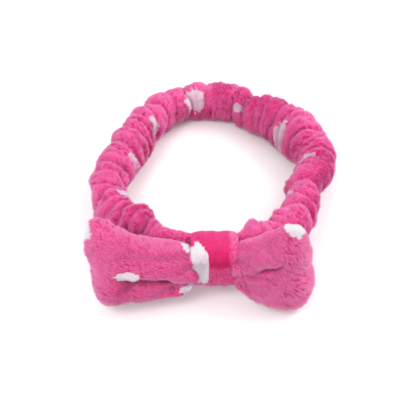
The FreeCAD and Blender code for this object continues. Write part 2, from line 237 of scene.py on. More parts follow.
def walled(name, outer, inner):
    """A closed cloth tube from two skins, each an array of rows x columns x 3."""
    rows, columns, _ = outer.shape
    count = rows * columns
    faces = skin_faces(rows, columns) + skin_faces(rows, columns, count, flip=True)
    for row in (0, rows - 1):
        for column in range(columns):
            after = (column + 1) % columns
            a, b = row * columns + column, row * columns + after
            quad = (a, count + a, count + b, b)
            faces.append(quad if row == 0 else quad[::-1])
    points = np.concatenate([outer.reshape(-1, 3), inner.reshape(-1, 3)])
    return face_out(new_piece(name, points, faces))


def swell(points, wavelength, seed, waves=7):
    """Smooth uneven noise from about -1 to 1 at each point."""
    rng = np.random.default_rng(seed)
    ways = rng.normal(size=(waves, 3))
    ways /= np.linalg.norm(ways, axis=1)[:, None]
    ways /= wavelength * rng.uniform(0.7, 1.5, waves)[:, None]
    phase = rng.uniform(0, 2 * math.pi, waves)
    return np.sin(points @ ways.T * 2 * math.pi + phase).sum(axis=1) / math.sqrt(waves)


def ease(value, low, high):
    """0 below low, 1 above high, smooth between."""
    t = np.clip((np.asarray(value, float) - low) / (high - low), 0, 1)
    return t * t * (3 - 2 * t)


def on_table(points, height=0.3 * MM):
    """Lays what would be under the table flat on it."""
    points[..., 2] = np.maximum(points[..., 2], height)
    return points


# %% [markdown]
# Fleece. Coral fleece is a knit with a dense, short, brushed pile. Light catches the tips of the pile, and
# the gaps between its clumps are darker and stronger in colour. The pile could be faked with a bump, but
# its fuzzy outline and the ragged edges of the white dots need real tufts. So the cloth gets a plain fuzzy
# material, and tufts grow on it later, each with a tint of its own and the colour that the cloth has at its
# root. The tufts are painted darker at their roots and in the gaps between the locks, as painted shade, and
# the cloth under them takes the darker root colour.

# %% Fleece materials
def shader(name):
    """A new material with its tree and its main shader."""
    material = bpy.data.materials.new(name)
    material.use_nodes = True
    tree = material.node_tree
    return material, tree, tree.nodes["Principled BSDF"]


def wire(tree, start, end):
    tree.links.new(start, end)


def put(tree, kind, values=(), **settings):
    """A node with its settings and its inputs' values."""
    made = tree.nodes.new(kind)
    for key, value in settings.items():
        setattr(made, key, value)
    for key, value in dict(values).items():
        made.inputs[key].default_value = value
    return made


def mixed(tree, factor, first, second, blend="MIX"):
    """A colour mix. Each of its inputs is a socket or a plain value."""
    mix = put(tree, "ShaderNodeMix", data_type="RGBA", blend_type=blend)
    for index, value in ((0, factor), (6, first), (7, second)):
        if isinstance(value, bpy.types.NodeSocket):
            wire(tree, value, mix.inputs[index])
        else:
            mix.inputs[index].default_value = value if index == 0 else (*value, 1)
    return mix.outputs[2]


def attribute(tree, name):
    return put(tree, "ShaderNodeAttribute", attribute_name=name).outputs["Fac"]


def ramp(tree, value, low, high):
    """A clamped rise from 0 to 1 between two levels."""
    span = put(
        tree, "ShaderNodeMapRange", {"From Min": low, "From Max": high}, interpolation_type="SMOOTHSTEP"
    )
    wire(tree, value, span.inputs["Value"])
    return span.outputs["Result"]


def noise(tree, scale, detail):
    where = put(tree, "ShaderNodeTexCoord")
    cloud = put(tree, "ShaderNodeTexNoise", {"Scale": scale, "Detail": detail, "Roughness": 0.6})
    wire(tree, where.outputs["Object"], cloud.inputs["Vector"])
    return cloud.outputs["Fac"]


def bumped(tree, main, height, distance, strength):
    bump = put(tree, "ShaderNodeBump", {"Strength": strength, "Distance": distance})
    wire(tree, height, bump.inputs["Height"])
    wire(tree, bump.outputs["Normal"], main.inputs["Normal"])


def maths(tree, operation, first, second=None, third=None):
    """A sum of one to three sockets or plain numbers."""
    node = put(tree, "ShaderNodeMath", operation=operation)
    for index, value in enumerate((first, second, third)):
        if isinstance(value, bpy.types.NodeSocket):
            wire(tree, value, node.inputs[index])
        elif value is not None:
            node.inputs[index].default_value = value
    return node.outputs[0]


def vectors(tree, operation, first, second=None, scale=None):
    """The same for directions."""
    node = put(tree, "ShaderNodeVectorMath", operation=operation)
    for key, value in ((0, first), (1, second), ("Scale", scale)):
        if isinstance(value, bpy.types.NodeSocket):
            wire(tree, value, node.inputs[key])
        elif value is not None:
            node.inputs[key].default_value = value
    return node.outputs[0]


# root and tip of the white dots, the root painted darker as painted shade in the pile: those of the band have
# taken up some of the pink
WHITES = ((0.82, 0.68, 0.76), (0.93, 0.88, 0.92))
BAND_WHITES = ((0.86, 0.50, 0.66), (0.96, 0.70, 0.83))
# root, tip and brightest tip of the band, the bow and the knot's deep part; each darker root is painted shade
# in the pile
BAND_PINK = ((0.86, 0.04, 0.24), (0.95, 0.11, 0.37), (0.98, 0.22, 0.50))
BOW_PINK = ((0.80, 0.06, 0.25), (0.91, 0.13, 0.37), (0.95, 0.25, 0.50))
KNOT_PINK = ((0.68, 0.014, 0.13), (0.75, 0.022, 0.17), (0.80, 0.045, 0.24))
FURROW_SHADE = 0.58  # painted shade in a furrow between the locks: its colour over the root colour
OWN_LIGHT = 0.3  # share of the light that a tuft takes by its own sides


def darker(colour, share):
    return tuple(channel * share for channel in colour)


def fleece_look(main):
    """A soft dull surface with a pink edge glow."""
    main.inputs["Roughness"].default_value = 0.85
    main.inputs["Specular IOR Level"].default_value = 0.12
    main.inputs["Subsurface Weight"].default_value = 0.35
    main.inputs["Subsurface Radius"].default_value = (1.0, 0.45, 0.6)
    main.inputs["Subsurface Scale"].default_value = 1.5 * MM
    main.inputs["Sheen Weight"].default_value = 0.35
    main.inputs["Sheen Roughness"].default_value = 0.45
    main.inputs["Sheen Tint"].default_value = (1.0, 0.72, 0.87, 1)


def fleece_cloth(name, palette, white, deep_palette=None):
    """The knit ground under the pile: the darker root colour, which is painted shade under the tufts, a
    little uneven.
    """
    material, tree, main = shader(name)
    cloud = ramp(tree, noise(tree, 260, 4.0), 0.3, 0.75)
    pink = mixed(tree, cloud, darker(palette[0], 0.8), palette[0])
    if deep_palette:
        pink = mixed(tree, attribute(tree, "deep"), pink, deep_palette[0])
    whites = mixed(tree, cloud, darker(white[0], 0.85), white[0])
    in_dot = ramp(tree, attribute(tree, "dot"), 0.4, 0.6)
    wire(tree, mixed(tree, in_dot, pink, whites), main.inputs["Base Color"])
    bumped(tree, main, noise(tree, 900, 2.0), 0.5 * MM, 0.8)
    fleece_look(main)
    return material


def pile_pink(tree, height, palette):
    """A pink for each point of a tuft: by its height, darker towards the root as painted shade, by its tuft's
    tint, and darker in the furrows as painted shade.
    """
    root, tip, bright = palette
    # the colour rises from the root colour, painted shade down in the pile, to the tip colour
    lit = mixed(tree, ramp(tree, height, 0.0, 0.8), root, tip)
    brighter = maths(tree, "MULTIPLY", ramp(tree, attribute(tree, "tint"), 0.3, 1.0), 0.5)
    lit = mixed(tree, brighter, lit, bright)
    # in the furrows between the locks the colour is painted darker, as painted shade
    return mixed(tree, ramp(tree, attribute(tree, "lock"), 0.0, 0.8), darker(root, FURROW_SHADE), lit)


def fleece_pile(name, palette, white, deep_palette=None):
    """The tufts. Where the deep attribute is 1 they take the second palette."""
    material, tree, main = shader(name)
    height = attribute(tree, "tip")
    pink = pile_pink(tree, height, palette)
    if deep_palette:
        pink = mixed(tree, attribute(tree, "deep"), pink, pile_pink(tree, height, deep_palette))
    # the whites too are painted darker towards the roots, as painted shade
    whites = mixed(tree, ramp(tree, height, 0.0, 0.6), *white)
    in_dot = ramp(tree, attribute(tree, "dot"), 0.4, 0.6)
    wire(tree, mixed(tree, in_dot, pink, whites), main.inputs["Base Color"])
    # light falls on the pile mostly as on the cloth it stands on, and only partly as on each tuft's own sides
    cloth_way = put(
        tree, "ShaderNodeVectorTransform", vector_type="NORMAL", convert_from="OBJECT", convert_to="WORLD"
    )
    wire(tree, put(tree, "ShaderNodeAttribute", attribute_name="nap").outputs["Vector"], cloth_way.inputs[0])
    blend = put(tree, "ShaderNodeMix", {0: OWN_LIGHT}, data_type="VECTOR")
    wire(tree, cloth_way.outputs[0], blend.inputs[4])
    wire(tree, put(tree, "ShaderNodeNewGeometry").outputs["Normal"], blend.inputs[5])
    wire(tree, vectors(tree, "NORMALIZE", blend.outputs[1]), main.inputs["Normal"])
    fleece_look(main)
    return material


band_cloth = fleece_cloth("band_fleece", BAND_PINK, BAND_WHITES)
band_pile = fleece_pile("band_pile", BAND_PINK, BAND_WHITES)
bow_cloth = fleece_cloth("bow_fleece", BOW_PINK, WHITES)
bow_pile = fleece_pile("bow_pile", BOW_PINK, WHITES)
knot_cloth = fleece_cloth("knot_fleece", BOW_PINK, WHITES, KNOT_PINK)
knot_pile = fleece_pile("knot_pile", BOW_PINK, WHITES, KNOT_PINK)
fleeces = (band_cloth, band_pile, bow_cloth, bow_pile, knot_cloth, knot_pile)
print("fleece materials:", [material.name for material in fleeces])

# %% [markdown]
# Growing things on a surface. Geometry Nodes scatter points on a mesh and put a small shape on each. The
# pile tree makes one tuft, a thin three-sided spike, and stands it on every point along the cloth's normal,
# leaned the way that the pile is combed. Real pile parts into locks, so a noise counted in locks marks
# ridges and the furrows between them, where the tufts are shorter and painted darker, as painted shade. A
# thousand small spikes, each lit by its own sides, would look like grain, so each tuft keeps the cloth's
# normal too, for its material.
# Spacing, length and lean are inputs, so that the same tree serves the band, the bow and the smooth knot.

# %% Node tree helpers
def new_tree(name, inputs):
    """An empty Geometry Nodes tree with named inputs, given as (name, kind, default)."""
    tree = bpy.data.node_groups.new(name, "GeometryNodeTree")
    tree.interface.new_socket("Geometry", in_out="INPUT", socket_type="NodeSocketGeometry")
    for label, kind, value in inputs:
        socket = tree.interface.new_socket(label, in_out="INPUT", socket_type=f"NodeSocket{kind}")
        if value is not None:
            socket.default_value = value
    tree.interface.new_socket("Geometry", in_out="OUTPUT", socket_type="NodeSocketGeometry")
    return tree, tree.nodes.new("NodeGroupInput"), tree.nodes.new("NodeGroupOutput")


def grown(name, base, tree, values):
    """The plain mesh that a tree makes on a base object."""
    modifier = base.modifiers.new(tree.name, "NODES")
    modifier.node_group = tree
    for item in tree.interface.items_tree:
        if item.in_out == "INPUT" and item.name in values:
            modifier[item.identifier] = values[item.name]
    evaluated = base.evaluated_get(bpy.context.evaluated_depsgraph_get())
    mesh = bpy.data.meshes.new_from_object(evaluated)
    mesh.name = name
    base.modifiers.remove(modifier)
    piece = bpy.data.objects.new(name, mesh)
    bpy.context.scene.collection.objects.link(piece)
    print(f"{name}: {sum(len(p.vertices) - 2 for p in mesh.polygons)} triangles")
    return piece


# %% What both trees do
def field_of(tree, name, kind="FLOAT"):
    """Reads a named attribute of the base mesh."""
    return put(tree, "GeometryNodeInputNamedAttribute", {"Name": name}, data_type=kind).outputs[0]


def keep_field(tree, geometry, name, value, kind="FLOAT"):
    """Stores a value at each point under a name, and gives the geometry that carries it."""
    store = put(tree, "GeometryNodeStoreNamedAttribute", {"Name": name}, data_type=kind, domain="POINT")
    wire(tree, geometry, store.inputs["Geometry"])
    wire(tree, value, store.inputs["Value"])
    return store.outputs[0]


def by_chance(tree, index, salt, low=0.0, high=1.0):
    """A random number or direction for each point, with a draw of its own for each salt."""
    ways = isinstance(low, tuple)
    kind = "FLOAT_VECTOR" if ways else "FLOAT"
    draw = put(tree, "FunctionNodeRandomValue", {"Min": low, "Max": high}, data_type=kind)
    wire(tree, maths(tree, "ADD", index, salt) if salt else index, draw.inputs["ID"])
    return draw.outputs[0 if ways else 1]


def turned(tree, way, axis, about):
    """A rotation that lays one axis along a direction, after a turn about the shape's own Z axis."""
    point = put(tree, "FunctionNodeAlignRotationToVector", axis=axis)
    wire(tree, way, point.inputs["Vector"])
    own = put(tree, "FunctionNodeAxisAngleToRotation", {"Axis": (0, 0, 1)})
    wire(tree, about, own.inputs["Angle"])
    both = put(tree, "FunctionNodeRotateRotation", rotation_space="LOCAL")
    wire(tree, point.outputs[0], both.inputs["Rotation"])
    wire(tree, own.outputs[0], both.inputs["Rotate By"])
    return both.outputs[0]


def copies(tree, points, shape, turn, sizes):
    """One copy of a shape on each point, turned and sized along X, Y and Z."""
    size = put(tree, "ShaderNodeCombineXYZ")
    for axis, value in zip("XYZ", sizes):
        wire(tree, value, size.inputs[axis])
    lay = put(tree, "GeometryNodeInstanceOnPoints")
    for key, value in (
        ("Points", points), ("Instance", shape), ("Rotation", turn), ("Scale", size.outputs[0]),
    ):
        wire(tree, value, lay.inputs[key])
    return lay.outputs[0]


def made_real(tree, instances, material, result):
    """Ends a tree: the instances become one plain mesh, shaded smooth, in its material."""
    real = put(tree, "GeometryNodeRealizeInstances")
    soft = put(tree, "GeometryNodeSetShadeSmooth")
    dress = put(tree, "GeometryNodeSetMaterial")
    wire(tree, instances, real.inputs[0])
    wire(tree, real.outputs[0], soft.inputs["Geometry"])
    wire(tree, soft.outputs[0], dress.inputs["Geometry"])
    wire(tree, material, dress.inputs["Material"])
    wire(tree, dress.outputs[0], result.inputs[0])


# %% The pile tree, first its tuft and its locks
MOST_TUFTS = 1.2e7  # a square metre may carry this many, far more than the spacing lets stand
FURROW_HEIGHT = 0.4  # height of the pile in a furrow over its height on a ridge


def tuft(tree):
    """One tuft, a unit high, with its height kept at each point."""
    spike = put(tree, "GeometryNodeMeshCone", {
        "Vertices": 3, "Side Segments": 1, "Radius Top": 0.0, "Radius Bottom": 1.0, "Depth": 1.0,
    }, fill_type="NONE")
    parts = put(tree, "ShaderNodeSeparateXYZ")
    wire(tree, put(tree, "GeometryNodeInputPosition").outputs[0], parts.inputs[0])
    return keep_field(tree, spike.outputs["Mesh"], "tip", parts.outputs["Z"])


def locks(tree):
    """1 on the ridges of the locks and 0 in the furrows between them, as far as the pile is rough."""
    field = put(tree, "ShaderNodeTexNoise", {
        "Scale": 1.0, "Detail": 1.0, "Roughness": 0.5, "Distortion": 0.35,
    })
    wire(tree, field_of(tree, "weave", "FLOAT_VECTOR"), field.inputs["Vector"])
    ridge = ramp(tree, field.outputs["Fac"], 0.36, 0.54)
    parted = maths(tree, "MULTIPLY", field_of(tree, "rough"), maths(tree, "SUBTRACT", 1.0, ridge))
    return maths(tree, "SUBTRACT", 1.0, parted)


# %% The whole pile tree
def pile_tree():
    """The pile's tree, with its sizes, its lean and its seed as inputs."""
    tree, given, result = new_tree("pile", [
        ("Spacing", "Float", 0.001), ("Length", "Float", 0.0022), ("Width", "Float", 0.0005),
        ("Lean", "Float", 0.6), ("Ruffle", "Float", 0.45), ("Clump", "Float", 0.8), ("Seed", "Int", 1),
        ("Material", "Material", None),
    ])
    want = given.outputs
    scatter = put(
        tree, "GeometryNodeDistributePointsOnFaces", {"Density Max": MOST_TUFTS}, distribute_method="POISSON"
    )
    for key, value in (
        ("Mesh", want["Geometry"]), ("Distance Min", want["Spacing"]), ("Seed", want["Seed"]),
        ("Density Factor", field_of(tree, "cover")),
    ):
        wire(tree, value, scatter.inputs[key])
    normal = scatter.outputs["Normal"]
    index = put(tree, "GeometryNodeInputIndex").outputs[0]
    points = keep_field(tree, scatter.outputs["Points"], "tint", by_chance(tree, index, 0))
    points = keep_field(tree, points, "nap", normal, "FLOAT_VECTOR")
    # the lock value shortens the tufts in the furrows and, in the pile material, paints them darker as
    # painted shade
    points = keep_field(tree, points, "lock", locks(tree))
    # each tuft's own direction: the normal, the combed way, a little disorder and the way its neighbours lean
    leaned = vectors(tree, "SCALE", field_of(tree, "comb", "FLOAT_VECTOR"), scale=want["Lean"])
    disorder = by_chance(tree, index, 7919.0, (-1, -1, -1), (1, 1, 1))
    ruffled = vectors(tree, "SCALE", disorder, scale=want["Ruffle"])
    drift = put(tree, "ShaderNodeTexNoise", {"Scale": 330.0, "Detail": 1.0, "Roughness": 0.5})
    clumped = vectors(tree, "SUBTRACT", drift.outputs["Color"], (0.5, 0.5, 0.5))
    clumped = vectors(tree, "SCALE", clumped, scale=maths(tree, "MULTIPLY", want["Clump"], 4.0))
    way = vectors(tree, "ADD", vectors(tree, "ADD", normal, leaned), ruffled)
    way = vectors(tree, "ADD", way, clumped)
    turn = turned(tree, way, "Z", by_chance(tree, index, 104729.0, 0.0, 6.283))
    grow = by_chance(tree, index, 1299709.0, 0.8, 1.15)
    wide = maths(tree, "MULTIPLY", want["Width"], grow)
    high = maths(tree, "MULTIPLY_ADD", field_of(tree, "lock"), 1 - FURROW_HEIGHT, FURROW_HEIGHT)
    tall = maths(tree, "MULTIPLY", maths(tree, "MULTIPLY", want["Length"], grow), high)
    made_real(tree, copies(tree, points, tuft(tree), turn, (wide, wide, tall)), want["Material"], result)
    return tree


PILE = pile_tree()
COARSER = 1.0
print("the pile tree has", len(PILE.nodes), "nodes")


# %% Pile on a piece
def tufts(spacing, length, width, lean, ruffle, clump):
    """The inputs of one kind of pile. Spacing, length and width are in mm."""
    return {
        "Spacing": spacing * MM * COARSER, "Length": length * MM, "Width": width * MM * COARSER, "Lean": lean,
        "Ruffle": ruffle, "Clump": clump,
    }


BAND_TUFTS = tufts(0.43, 2.5, 0.26, lean=0.9, ruffle=0.22, clump=0.4)
BOW_TUFTS = tufts(0.40, 2.3, 0.25, lean=1.0, ruffle=0.2, clump=0.28)
KNOT_TUFTS = tufts(0.45, 1.5, 0.28, lean=0.7, ruffle=0.22, clump=0.25)


def pile_on(name, base, kind, seed, material):
    """Tufts on a base mesh that carries the dot, comb, cover, weave and rough attributes."""
    pile = grown(name, base, PILE, kind | {"Seed": seed, "Material": material})
    set_points(pile, on_table(points_of(pile)))
    return pile


# %% [markdown]
# The sleeve. It is cut longer than the ring it lies on, so it bunches: narrow creases run across the band,
# and the cloth between them puffs out. Each crease is a valley at a distance along the band that wanders as
# it goes round, and none is as deep all the way. A cloth simulation could gather a tube on a shrinking
# ring, but its folds land anywhere and take minutes. A rule for the folds gives the same bunching in no
# time, and lets each fold go where it is wanted.

# %% The sleeve's section and folds
BAND_HIGH, BAND_DEEP = 17 * MM, 14 * MM
NECK_HIGH, NECK_DEEP = 13.6 * MM, 5.5 * MM
PILE_ROOM = 1.3 * MM
CLOTH = 1.5 * MM


# where the sleeve is fuller (+) or thinner (-) than its section on its inner side, by distance in mm
FULLER = {
    LEFT: (
        (16, 0), (24, -1), (40, 0), (50, 4), (62, 6), (76, -1.5),
        (95, -3), (118, -4.5), (140, -2.5), (162, 1.2), (215, -4), (246.9, -5),
    ),
    RIGHT: (
        (16, 0), (28, 6), (44, -4), (60, -3.5), (79, -4), (96, -5.5), (110, -2), (122, 0),
        (136, -1), (150, 2), (165, 5), (185, 2.5), (205, 0), (228, -3), (248.5, -4),
    ),
}
SQUEEZED = {LEFT: 40 * MM, RIGHT: 24 * MM}  # how far from its middle the knot's squeeze is felt


def section_halves(side, along):
    """Half height and half depth of the sleeve's outside at distances from the knot's middle."""
    grown_share = ease(along, SQUEEZED[side], SQUEEZED[side] + 20 * MM)
    high = NECK_HIGH + grown_share * (BAND_HIGH - NECK_HIGH) - PILE_ROOM
    deep = NECK_DEEP + grown_share * (BAND_DEEP - NECK_DEEP) - PILE_ROOM
    deep += ease(along, NECK_HALF, NECK_HALF + 10 * MM) * (1 - grown_share) * 3 * MM
    return high, deep


CREASE_GAP = (7.5, 16.0)
# depth and width in mm, and how far short of the whole way round it stops
DEEP_CREASE = ((2.8, 7.2), (1.5, 2.8), 0.5)
FINE_CREASE = ((0.8, 2.6), (1.6, 2.6), 1.0)


def crease_list(side, seed):
    """Creases of one side: place, wander, depth, width, and how much of the way round each one goes."""
    rng = np.random.default_rng(seed)
    creases = []
    at = NECK_HALF + 4 * MM
    while at < SIDE_LENGTH[side] - 4 * MM:
        gap = rng.uniform(*CREASE_GAP) * MM
        for place, depth, width, short in (
            (at, rng.uniform(*DEEP_CREASE[0]), rng.uniform(*DEEP_CREASE[1]), DEEP_CREASE[2]),
            (
                at + gap * rng.uniform(0.35, 0.65),
                rng.uniform(*FINE_CREASE[0]), rng.uniform(*FINE_CREASE[1]), FINE_CREASE[2],
            ),
        ):
            creases.append({
                "at": place, "depth": depth * MM, "width": width * MM, "short": short,
                "wander": rng.uniform(-3.6, 3.6, 3) * MM, "phase": rng.uniform(0, 2 * math.pi, 3),
                "facing": rng.uniform(0, 2 * math.pi),
            })
        at += gap
    return creases


CREASES = {LEFT: crease_list(LEFT, 11), RIGHT: crease_list(RIGHT, 23)}
print("creases:", {HAND[s]: len(c) for s, c in CREASES.items()})


def folds(side, along, angle):
    """How far the sleeve's outside sinks into its creases, at distances and angles round the section."""
    sink = np.zeros(along.shape)
    for crease in CREASES[side]:
        centre = crease["at"]
        for turns, (wander, phase) in enumerate(zip(crease["wander"], crease["phase"]), start=1):
            centre = centre + wander / turns * np.sin(turns * angle + phase)
        round_it = 1 - crease["short"] * (0.5 - 0.5 * np.cos(angle - crease["facing"]))
        depth = crease["depth"] * round_it * ease(SIDE_LENGTH[side] - crease["at"], 0, 10 * MM)
        away = np.abs(along - centre)
        sink = np.maximum(sink, depth * np.exp(-((away / crease["width"]) ** 1.3)))
    return sink


# %% The dots on the band
# side, distance from the knot's middle, angle round the section in degrees (0 outwards, 90 up, 180 inwards),
# half length along the band and half width round it
BAND_DOTS = (
    (LEFT, 232, 146, 8.0, 12.5), (LEFT, 184, 152, 3.6, 10.0), (RIGHT, 226, 150, 4.5, 4.5),
    (LEFT, 141, 158, 3.0, 9.0), (LEFT, 92, 142, 4.0, 7.0), (RIGHT, 173, 176, 7.5, 10.5),
    (RIGHT, 126, 132, 3.0, 9.0), (RIGHT, 86, 158, 4.5, 7.0), (LEFT, 150, -30, 7.0, 10.0),
    (RIGHT, 175, -10, 7.0, 10.0), (RIGHT, 60, -80, 6.0, 8.0), (LEFT, 100, -80, 7.0, 8.0),
    (LEFT, 210, -60, 7.0, 9.0), (RIGHT, 225, -50, 7.0, 8.0), (RIGHT, 110, -100, 6.0, 8.0),
)
DOT_EDGE = (0.85, 1.15)  # where a dot's white starts and stops to fade, over its half size


def band_dots(side, along, angle, points):
    """1 in a white dot, 0 outside, at each point of the sleeve."""
    high, deep = section_halves(side, along)
    radius = (high + deep) / 2
    ragged = 0.16 * swell(points, 4 * MM, 5) + 0.08 * swell(points, 1.6 * MM, 6)
    mask = np.zeros(along.shape)
    for hand, at, turn, half_long, half_round in BAND_DOTS:
        if hand != side:
            continue
        off = (np.degrees(angle) - turn + 180) % 360 - 180
        reach = np.hypot((along - at * MM) / (half_long * MM), np.radians(off) * radius / (half_round * MM))
        mask = np.maximum(mask, 1 - ease(reach + ragged, *DOT_EDGE))
    return mask


# %% The sleeve's skins
STEP, AROUND = 1.0 * MM, 72
# height in mm, wavelength in mm and seed of the puffs between the creases, from the broad to the small ones
PUFFS = ((1.3, 26, 31), (0.6, 11, 32), (0.3, 5, 33))
FULL = 1.4 * MM  # how far the cloth stands out between the creases
GATHERED_FROM = {LEFT: (28 * MM, 50 * MM), RIGHT: (18 * MM, 30 * MM)}  # where the creases start and are whole


def sleeve_skin(side, first, last):
    """The sleeve's outer skin, and each point's distance, angle and outward way, with the ring's line."""
    rows = max(int(round((last - first) / STEP)), 8) + 1
    along = np.linspace(first, last, rows)
    line, outward = ring_line(side, along)
    high, deep = section_halves(side, along)
    angle = np.linspace(0, 2 * math.pi, AROUND, endpoint=False)
    s, a = np.meshgrid(along, angle, indexing="ij")
    radial = outward[:, None, :] * (np.cos(a)[..., None] * deep[:, None, None])
    radial = radial + UP * (np.sin(a)[..., None] * high[:, None, None])
    reach = np.linalg.norm(radial, axis=2)
    radial /= reach[..., None]
    smooth = line[:, None, :] + radial * reach[..., None]
    flat = smooth.reshape(-1, 3)
    puff = sum(high * MM * swell(flat, wave * MM, seed) for high, wave, seed in PUFFS)
    calm = 0.25 + 0.75 * ease(s, NECK_HALF, NECK_HALF + 25 * MM)
    fuller = through(s / MM, *zip(*FULLER[side])) * MM * (0.5 - 0.5 * np.cos(a))
    sunk = folds(side, s, a) * ease(s, *GATHERED_FROM[side])
    change = (puff.reshape(s.shape) + FULL) * calm - sunk + fuller
    outer = smooth + radial * change[..., None]
    return {"points": on_table(outer), "along": s, "angle": a, "radial": radial, "line": line}


def pull_in(skin, wall):
    """The inner skin: each point of the outer one brought in by the cloth's thickness."""
    inner = skin["points"] - skin["radial"] * wall
    return on_table(inner, 0.3 * MM + wall)


def combed(skin, seed):
    """The way that the pile lies: mostly round the section, with slow swirls."""
    flat = skin["points"].reshape(-1, 3)
    tangent = np.repeat(tangent_of(skin), AROUND, axis=0)
    around = np.cross(skin["radial"].reshape(-1, 3), tangent)
    swirl = 0.8 * swell(flat, 45 * MM, seed)
    return around * np.cos(swirl)[:, None] + tangent * np.sin(swirl)[:, None]


def tangent_of(skin):
    """The way that the ring's line runs at each row of a skin."""
    tangent = np.gradient(skin["line"], axis=0)
    return tangent / np.linalg.norm(tangent, axis=1)[:, None]


LOCK_WIDE, LOCK_LONG = 1.35 * MM, 4.0 * MM


def band_weave(skin):
    """Coordinates counted in locks of pile, which run round the band."""
    drift = 1.2 * MM * swell(skin["points"].reshape(-1, 3), 12 * MM, 44)
    a = skin["angle"].ravel()
    along = (skin["along"].ravel() + drift) / LOCK_WIDE
    return np.stack([along, np.cos(a) * BAND_DEEP / LOCK_LONG, np.sin(a) * BAND_HIGH / LOCK_LONG], axis=1)


def roughness(points, middle):
    """How far the pile is parted into locks: 0 where it is brushed flat, 1 where it is ruffled."""
    return np.clip(middle + 0.35 * swell(points, 28 * MM, 45), 0, 1)


def open_skin(name, skin, attributes):
    """The outer skin alone, as a base to grow the pile on."""
    rows, columns, _ = skin["points"].shape
    base = face_out(new_piece(name, skin["points"].reshape(-1, 3), skin_faces(rows, columns)))
    for key, (values, kind) in attributes.items():
        note(base, key, values, kind)
    return base


def spent(piece):
    """Takes a helper object out of the scene."""
    mesh = piece.data
    bpy.data.objects.remove(piece)
    bpy.data.meshes.remove(mesh)


# %% The ring's quarters
def quarters():
    """Side, part and name of each quarter, and the distances that it spans."""
    for side, hand in HAND.items():
        yield side, "front", f"front_{hand}", 0.0, MIDDLE[side]
        yield side, "back", f"back_{hand}", MIDDLE[side], SIDE_LENGTH[side]


def join_quarter(piece, side, first, last):
    """Bakes the piece's place into its mesh; the ends of its stretch of the ring's line are found but not
    used.
    """
    (start, end), _ = ring_line(side, [max(first, NECK_HALF), last])
    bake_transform(piece)


def quarter_nodes(kind, side, part):
    """The solid model's parts of one kind that a quarter stands for."""
    hand = HAND[side]
    return [f"{kind}_front", f"{kind}_{hand}"] if part == "front" else [f"{kind}_back_{hand}"]


print("quarters:", [name for _, _, name, _, _ in quarters()])

# %% Build the sleeve, a quarter at a time
sleeves = {}
for side, part, name, first, last in quarters():
    skin = sleeve_skin(side, first, last)
    flat = skin["points"].reshape(-1, 3)
    dots = band_dots(side, skin["along"].ravel(), skin["angle"].ravel(), flat)
    sleeve = walled(f"sleeve_{name}_quarter", skin["points"], pull_in(skin, CLOTH))
    note(sleeve, "dot", np.concatenate([dots, dots]))
    sleeve.data.materials.append(band_cloth)
    base = open_skin("pile_base", skin, {
        "dot": (dots, "FLOAT"),
        "comb": (combed(skin, 41), "FLOAT_VECTOR"),
        "cover": (ease(skin["along"].ravel(), NECK_HALF - 2 * MM, NECK_HALF), "FLOAT"),
        "weave": (band_weave(skin), "FLOAT_VECTOR"),
        "rough": (roughness(flat, 0.85), "FLOAT"),
    })
    pile = pile_on(f"sleeve_{name}_pile", base, BAND_TUFTS, 7 + side, band_pile)
    spent(base)
    for piece in (sleeve, pile):
        join_quarter(piece, side, first, last)
    sleeves[name] = (sleeve, pile)

# %% Hide the solid model's sleeve parts
for side, part, name, first, last in quarters():
    sleeve, pile = sleeves[name]
    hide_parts(*quarter_nodes("sleeve", side, part))

# %% [markdown]
# The elastic and its threads. The elastic is a flat knitted ribbon with ribs along it, and it does the
# gripping. It is hidden, but it stretches with the sleeve, so it is made in the same quarters. The threads
# are rows of stitches: Geometry Nodes walk along a line and lay one small bead of thread at each step,
# which suits anything repeated along a path.

# %% Elastic and thread materials
def bands(tree, **values):
    """Slanting bands, for rows of knitting or the twist of a thread."""
    wave = put(tree, "ShaderNodeTexWave", values, bands_direction="DIAGONAL")
    wire(tree, put(tree, "ShaderNodeTexCoord").outputs["Object"], wave.inputs["Vector"])
    return wave.outputs["Fac"]


def elastic_material():
    material, tree, main = shader("knitted_elastic")
    courses = bands(tree, Scale=260.0, Distortion=1.5, Detail=1.0)
    # the low rows are painted darker, as painted shade between the courses
    wire(tree, mixed(tree, courses, (0.66, 0.64, 0.60), (0.86, 0.85, 0.82)), main.inputs["Base Color"])
    bumped(tree, main, courses, 0.15 * MM, 0.7)
    main.inputs["Roughness"].default_value = 0.8
    return material


def thread_material(name, dark, light):
    material, tree, main = shader(name)
    twist = bands(tree, Scale=900.0, Distortion=0.5)
    # the low parts of the twist are painted darker, as painted shade in its grooves
    wire(tree, mixed(tree, twist, dark, light), main.inputs["Base Color"])
    bumped(tree, main, twist, 0.1 * MM, 0.6)
    main.inputs["Roughness"].default_value = 0.55
    main.inputs["Sheen Weight"].default_value = 0.3
    return material


elastic_knit = elastic_material()
pink_thread = thread_material("pink_thread", (0.45, 0.03, 0.14), (0.80, 0.12, 0.35))
white_thread = thread_material("white_thread", (0.62, 0.60, 0.56), (0.88, 0.87, 0.84))

# %% The elastic's quarters
ELASTIC_HALF, ELASTIC_THICK = 10 * MM, 1.5 * MM
RIB_PITCH, RIB_HIGH = 2.0 * MM, 0.12 * MM


